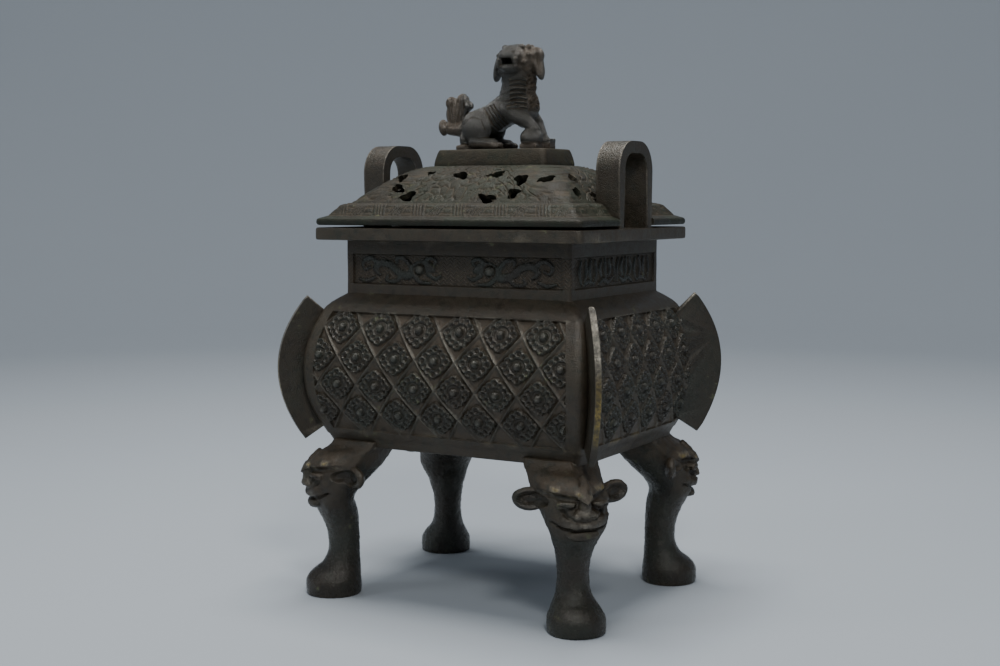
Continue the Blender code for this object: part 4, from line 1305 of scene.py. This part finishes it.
lid = make_lid_shell()
combine(lid, "UNION", [make_lugs()])
combine(lid, "DIFFERENCE", [make_notches()] + make_holes())
finish_surface(lid, 42)
patinate(
    lid,
    "lid bronze patina",
    dark=(0.016, 0.016, 0.012),
    green=(0.016, 0.023, 0.015),
    earth=(0.070, 0.055, 0.037),
    worn_and_highlight=(0.38, 0.34, 0.26),
    yellow=(0.30, 0.26, 0.13),
    earth_amount=0.85,
    wear_amount=0.35,
    dull=0.6,
    bright=0.38,
    wax=0.25,
)
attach(lid, "root")
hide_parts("lid")

# Lion: a small separate casting fixed on the plinth. It sits along the lid with its head turned to
# the front, a paw on a ball and its tail up in flame-like locks. Handling has left it browner.


def make_lion():
    """The lion facing +X with its head turned to -Y, in millimetres from the top of the plinth."""
    bm = bmesh.new()
    limb(bm, ((-17, 0, 13, 9.0), (-6, 0, 17, 8.6), (6, 0, 24, 9.4), (9, 0, 33, 9.6), (9, 0, 41, 9.8)))
    blob(bm, (13, 0, 22), (7.4, 8.6, 11.0))
    blob(bm, (9.0, -0.4, 46.9), (12.0, 10.4, 9.6))
    blob(bm, (9.0, -7.4, 49.4), (7.4, 7.4, 6.0))
    blob(bm, (9.0, -8.6, 43.2), (6.4, 5.6, 3.4))
    blob(bm, (19.8, 0.6, 50.0), (4.2, 5.0, 4.6))
    for sign in (-1, 1):
        blob(bm, (9.0 + sign * 12.4, 0.2, 44.8), (2.5, 4.4, 8.4), turn=(0, sign * -13, 0))
        for drop in range(3):
            blob(bm, (9.0 + sign * 5.0, -12.8 + 0.3 * drop, 47.4 - 1.9 * drop), (1.3, 1.4, 1.1))
        blob(bm, (-13, sign * 7.6, 12.0), (9.6, 4.8, 9.2), turn=(0, 20, 0))
        limb(bm, ((-14, sign * 8.4, 4.0, 3.6), (-7, sign * 8.6, 3.2, 3.2), (-2.0, sign * 8.4, 2.6, 3.0)))
        for toe in (-1, 0, 1):
            blob(bm, (0.2, sign * 8.4 + 2.2 * toe, 1.9), (2.6, 1.4, 2.0))
    blob(bm, (-21.4, 0, 5.6), (5.2, 8.6, 6.6))
    limb(bm, ((7, -8, 21, 5.2), (13, -8, 16.8, 4.4), (18.6, -6.8, 13.9, 3.6), (21.2, -6, 10.8, 3.3)))
    limb(bm, ((11, 7, 20, 5.0), (17, 7, 14, 3.6), (20, 7, 6, 3.4), (22, 7, 3, 3.6)))
    for toe in (-1, 0, 1):
        blob(bm, (23.2 + abs(toe) * -0.6, -6 + 2.2 * toe, 10.2), (2.2, 1.3, 1.8))
    blob(bm, (20.2, -5.5, 5.4), (6.4, 6.4, 5.9))
    box(bm, (15.2, -10.6, 0), (25.4, -0.6, 2.2))
    box(bm, (-26, -8.6, 0), (-4, 8.6, 2.4))
    box(bm, (20, 3.4, 0), (26.4, 10.6, 5.6))
    limb(bm, ((-19, 0, 12, 5.2), (-26, 0, 11.6, 4.8), (-36.0, 0, 12.2, 3.7)))
    blob(bm, (-39.2, 0, 12.8), (2.8, 3.0, 4.7), turn=(0, -6, 0))
    blob(bm, (-30.2, 0, 19.8), (7.2, 2.9, 9.4))
    for x, top, size in ((-33.7, 26.0, 3.8), (-26.4, 27.4, 3.9), (-22.6, 24.4, 2.7)):
        limb(bm, ((-30.0, 0, 16, 3.0), (x, 0, top - 1, 0.8 * size)))
        blob(bm, (x, 0, top), (size, 3.0, size))
    for row in range(5):
        for column in range(9):
            angle = math.radians(40 + 34 * column + 17 * (row % 2))
            z = 54.4 - 4.2 * row
            wide = math.sqrt(max(1 - ((z - 46.9) / 10.2) ** 2, 0.05))
            spot = (9.0 + 11.2 * wide * math.sin(angle), -0.4 - 9.6 * wide * math.cos(angle), z)
            blob(bm, spot, (1.9, 1.9, 1.7), subdivisions=2)
    figure = bmesh_object("lion_knop", bm)
    soften(figure, 0.42, 2)
    points, normals = skin(figure)
    height = np.zeros(len(points))

    def line(path, width, depth):
        nonlocal height
        height += depth * ridge(near_line(points, path), 0, width)

    side_on = points * np.array([1, 0, 1])
    turned = np.degrees(np.arctan2(points[:, 0] - 9.5, -points[:, 1]))

    def flank(path, width, depth):
        """A groove or a ridge along points (x, z) of both flanks."""
        nonlocal height
        path = [(x, 0, z) for x, z in path]
        height += depth * ridge(near_line(side_on, path), 0, width) * (np.abs(points[:, 1]) > 2.5)

    eye_cuts = (((2.8, -12.6, 53.4), (6.6, -9.0, 53.2)), ((3.4, -13.6, 51.6), (6.2, -12.0, 51.2)))
    for sign in (-1, 1):
        for start, end in eye_cuts:
            a = (9.0 + sign * start[0], *start[1:])
            b = (9.0 + sign * end[0], *end[1:])
            line([a, b], 0.8, -0.7)
        line([(9.0 + sign * 13.2, -3.0, 50.0), (9.0 + sign * 14.2, -3.4, 41.0)], 1.4, -1.0)
        for k in range(2):
            y = sign * 8.4 + 2.2 * (k - 0.5)
            line([(2.8, y, 1.6), (-1.6, y, 4.4)], 0.45, -0.6)
    for k in range(4):
        x = -9.4 + 2.3 * k
        flank([(x, 22.4 + 0.5 * k), (x + 4.4, 18.0), (x + 7.4, 10.5)], 0.5, -0.8)
    flank([(-19.5, 13.5), (-14.0, 17.5), (-8.0, 16.0), (-6.0, 10.5)], 0.5, -0.35)
    arc = (points[:, 2] + 0.0009 * (turned - 24) ** 2) / 2.5
    on_chest = ramp(np.abs(turned - 24), 34, 26) * ramp(points[:, 2], 20, 22) * ramp(points[:, 2], 38, 36)
    height += 0.7 * np.cos(2 * np.pi * arc) * on_chest
    row = np.floor(points[:, 2] / 3.6)
    column = turned / 27 + 0.5 * (row % 2)
    up = (points[:, 2] / 3.6 - row - 0.5) * 3.6
    away = np.hypot(up, (column % 1 - 0.5) * 4.4)
    on_mane = ramp(turned, 52, 58) * ramp(turned, 178, 160) * ramp(points[:, 2], 19, 22)
    on_mane *= ramp(points[:, 2], 42, 40)
    on_mane *= (points[:, 0] > -2) * (np.hypot(points[:, 0] - 9.5, points[:, 1]) < 10.8)
    height += 0.8 * np.cos(2 * np.pi * away / 1.9) * (away < 1.9) * on_mane
    for k in range(9):
        x = -20 + 3.0 * k
        z = 21.0 + 0.5 * k + 0.06 * k * k
        height += 0.4 * ridge(np.linalg.norm(points - np.array([x, 0, z + 1.5]), axis=1), 0, 1.3)
    for path in (
        [(-30.4, 12.0), (-30.6, 20.0), (-30.0, 30.5)],
        [(-32.6, 13.0), (-34.4, 19.0), (-35.4, 27.0)],
        [(-31.6, 13.0), (-32.6, 20.0), (-32.6, 28.0)],
        [(-28.6, 13.0), (-28.0, 20.0), (-27.4, 30.0)],
        [(-27.0, 13.0), (-25.6, 19.0), (-24.0, 30.5)],
        [(-24.6, 15.0), (-22.6, 20.5), (-19.0, 23.0)],
        [(-36.6, 8.0), (-35.8, 12.4), (-37.2, 17.0)],
    ):
        depth = near_line(side_on, [(x, 0, z) for x, z in path])
        height -= 0.75 * ridge(depth, 0, 0.55) * (points[:, 0] < -20)
    height += 0.1 * lumps(points, 2.6, 21) + 0.06 * lumps(points, 1.1, 22)
    height *= ramp(points[:, 2], 0.1, 1.0)
    push(figure, points, normals, height)
    browned = np.maximum(on_mane, ramp(points[:, 0], 12, 18) * ramp(points[:, 2], 36, 42))
    browned = np.maximum(browned, np.maximum(ramp(points[:, 2], 4.0, 2.4), ramp(points[:, 0], -24, -28)))
    mark(figure, 0.12 + 0.7 * browned, 0.0, 0.0, 1.0)
    return figure


lion = make_lion()
lion.location = (0, 0, plinth_top + piece_gap)
lion.scale = (mm, mm, mm)
mouth = bmesh.new()
slab(mouth, [(5.6, -20), (12.2, -20), (12.0, -6), (5.8, -6)], upright, 44.8, 48.1)
box(mouth, (-60, -30, -10), (60, 30, 0))
cut = bmesh_object("mouth and seat", mouth)
cut.location = lion.location
cut.scale = lion.scale
combine(lion, "DIFFERENCE", [cut])
finish_surface(lion, 50)
patinate(
    lion,
    "lion bronze patina",
    dark=(0.026, 0.024, 0.018),
    green=(0.030, 0.031, 0.024),
    earth=(0.110, 0.072, 0.038),
    worn_and_highlight=(0.50, 0.42, 0.31),
    yellow=(0.45, 0.34, 0.16),
    earth_amount=0.75,
    wear_amount=0.75,
    dull=0.32,
    bright=0.2,
    wax=1.0,
)
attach(lion, "root")
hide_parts("lion_knop")

# Stage: a pale seamless floor that curves up into a wall all round, under soft lights.
floor_reach = 1.4
wall_bend = 0.8
wall_top = 1.6
sheet = bmesh.new()
profile = [(0.0, 0.0), (floor_reach, 0.0)]
for degrees in range(10, 91, 10):
    angle = math.radians(degrees)
    profile.append((floor_reach + wall_bend * math.sin(angle), wall_bend - wall_bend * math.cos(angle)))
profile.append((floor_reach + wall_bend, wall_top))
edge = [sheet.verts.new((reach, 0, z)) for reach, z in profile]
line = [sheet.edges.new(pair) for pair in zip(edge, edge[1:])]
bmesh.ops.spin(sheet, geom=edge + line, cent=(0, 0, 0), axis=(0, 0, 1), angle=2 * math.pi, steps=64)
bmesh.ops.remove_doubles(sheet, verts=sheet.verts, dist=0.0001)
backdrop = bmesh_object("backdrop", sheet)
backdrop.data.shade_smooth()
paper = bpy.data.materials.new("pale paper")
paper.use_nodes = True
paper_tree = paper.node_tree
paper_place = node(paper_tree, "ShaderNodeTexCoord").outputs["Object"]
paper_clouds = cloudy(paper_tree, paper_place, 0.9, 2)
paper_tone = blend(paper_tree, paper_clouds, (0.38, 0.42, 0.465, 1), (0.41, 0.45, 0.49, 1))
paper_shader = paper_tree.nodes["Principled BSDF"]
paper_tree.links.new(paper_tone, paper_shader.inputs["Base Color"])
paper_shader.inputs["Roughness"].default_value = 0.9
backdrop.data.materials.append(paper)


def soft_light(name, place, aim, size, power, tint):
    data = bpy.data.lights.new(name, "AREA")
    data.shape = "RECTANGLE"
    data.size, data.size_y = size
    data.energy = power
    data.color = tint
    lamp = placed(name, data)
    lamp.location = place
    lamp.rotation_euler = (Vector(aim) - Vector(place)).to_track_quat("-Z", "Y").to_euler()


belly_middle = (0, 0, 0.16)
warm_white = (1.0, 0.985, 0.96)
soft_light("overhead softbox", (-0.05, 0.0, 1.3), belly_middle, (0.6, 0.5), 16, warm_white)
soft_light("key lamp", (0.7, -0.85, 1.1), belly_middle, (0.25, 0.25), 6.5, warm_white)
soft_light("left softbox", (-0.9, -1.0, 0.8), belly_middle, (0.4, 0.7), 2.5, (0.93, 0.97, 1.0))
soft_light("wall softbox", (-0.4, 0.5, 1.5), (-1.0, 1.9, 0.5), (0.9, 0.5), 5, (0.97, 0.985, 1.0))
world = bpy.data.worlds.new("studio air")
world.use_nodes = True
air = world.node_tree.nodes["Background"]
air.inputs["Color"].default_value = (0.86, 0.92, 1.0, 1)
air.inputs["Strength"].default_value = 0.26
bpy.context.scene.world = world

# Camera: stands where the photograph was taken, low in front of the right-hand corner. Its place,
# its lens and its two angles were fitted to the straight edges of the rim, lid and neck.
camera_down = 5.21
camera_turned = 30.10
lens = bpy.data.cameras.new("camera")
lens.sensor_width = 36
lens.lens = 52.253
lens.clip_start = 0.01
camera = placed("camera", lens)
camera.location = (0.400789, -0.695977, 0.216396)
camera.rotation_euler = (math.radians(90 - camera_down), 0, math.radians(camera_turned))
bpy.context.scene.camera = camera
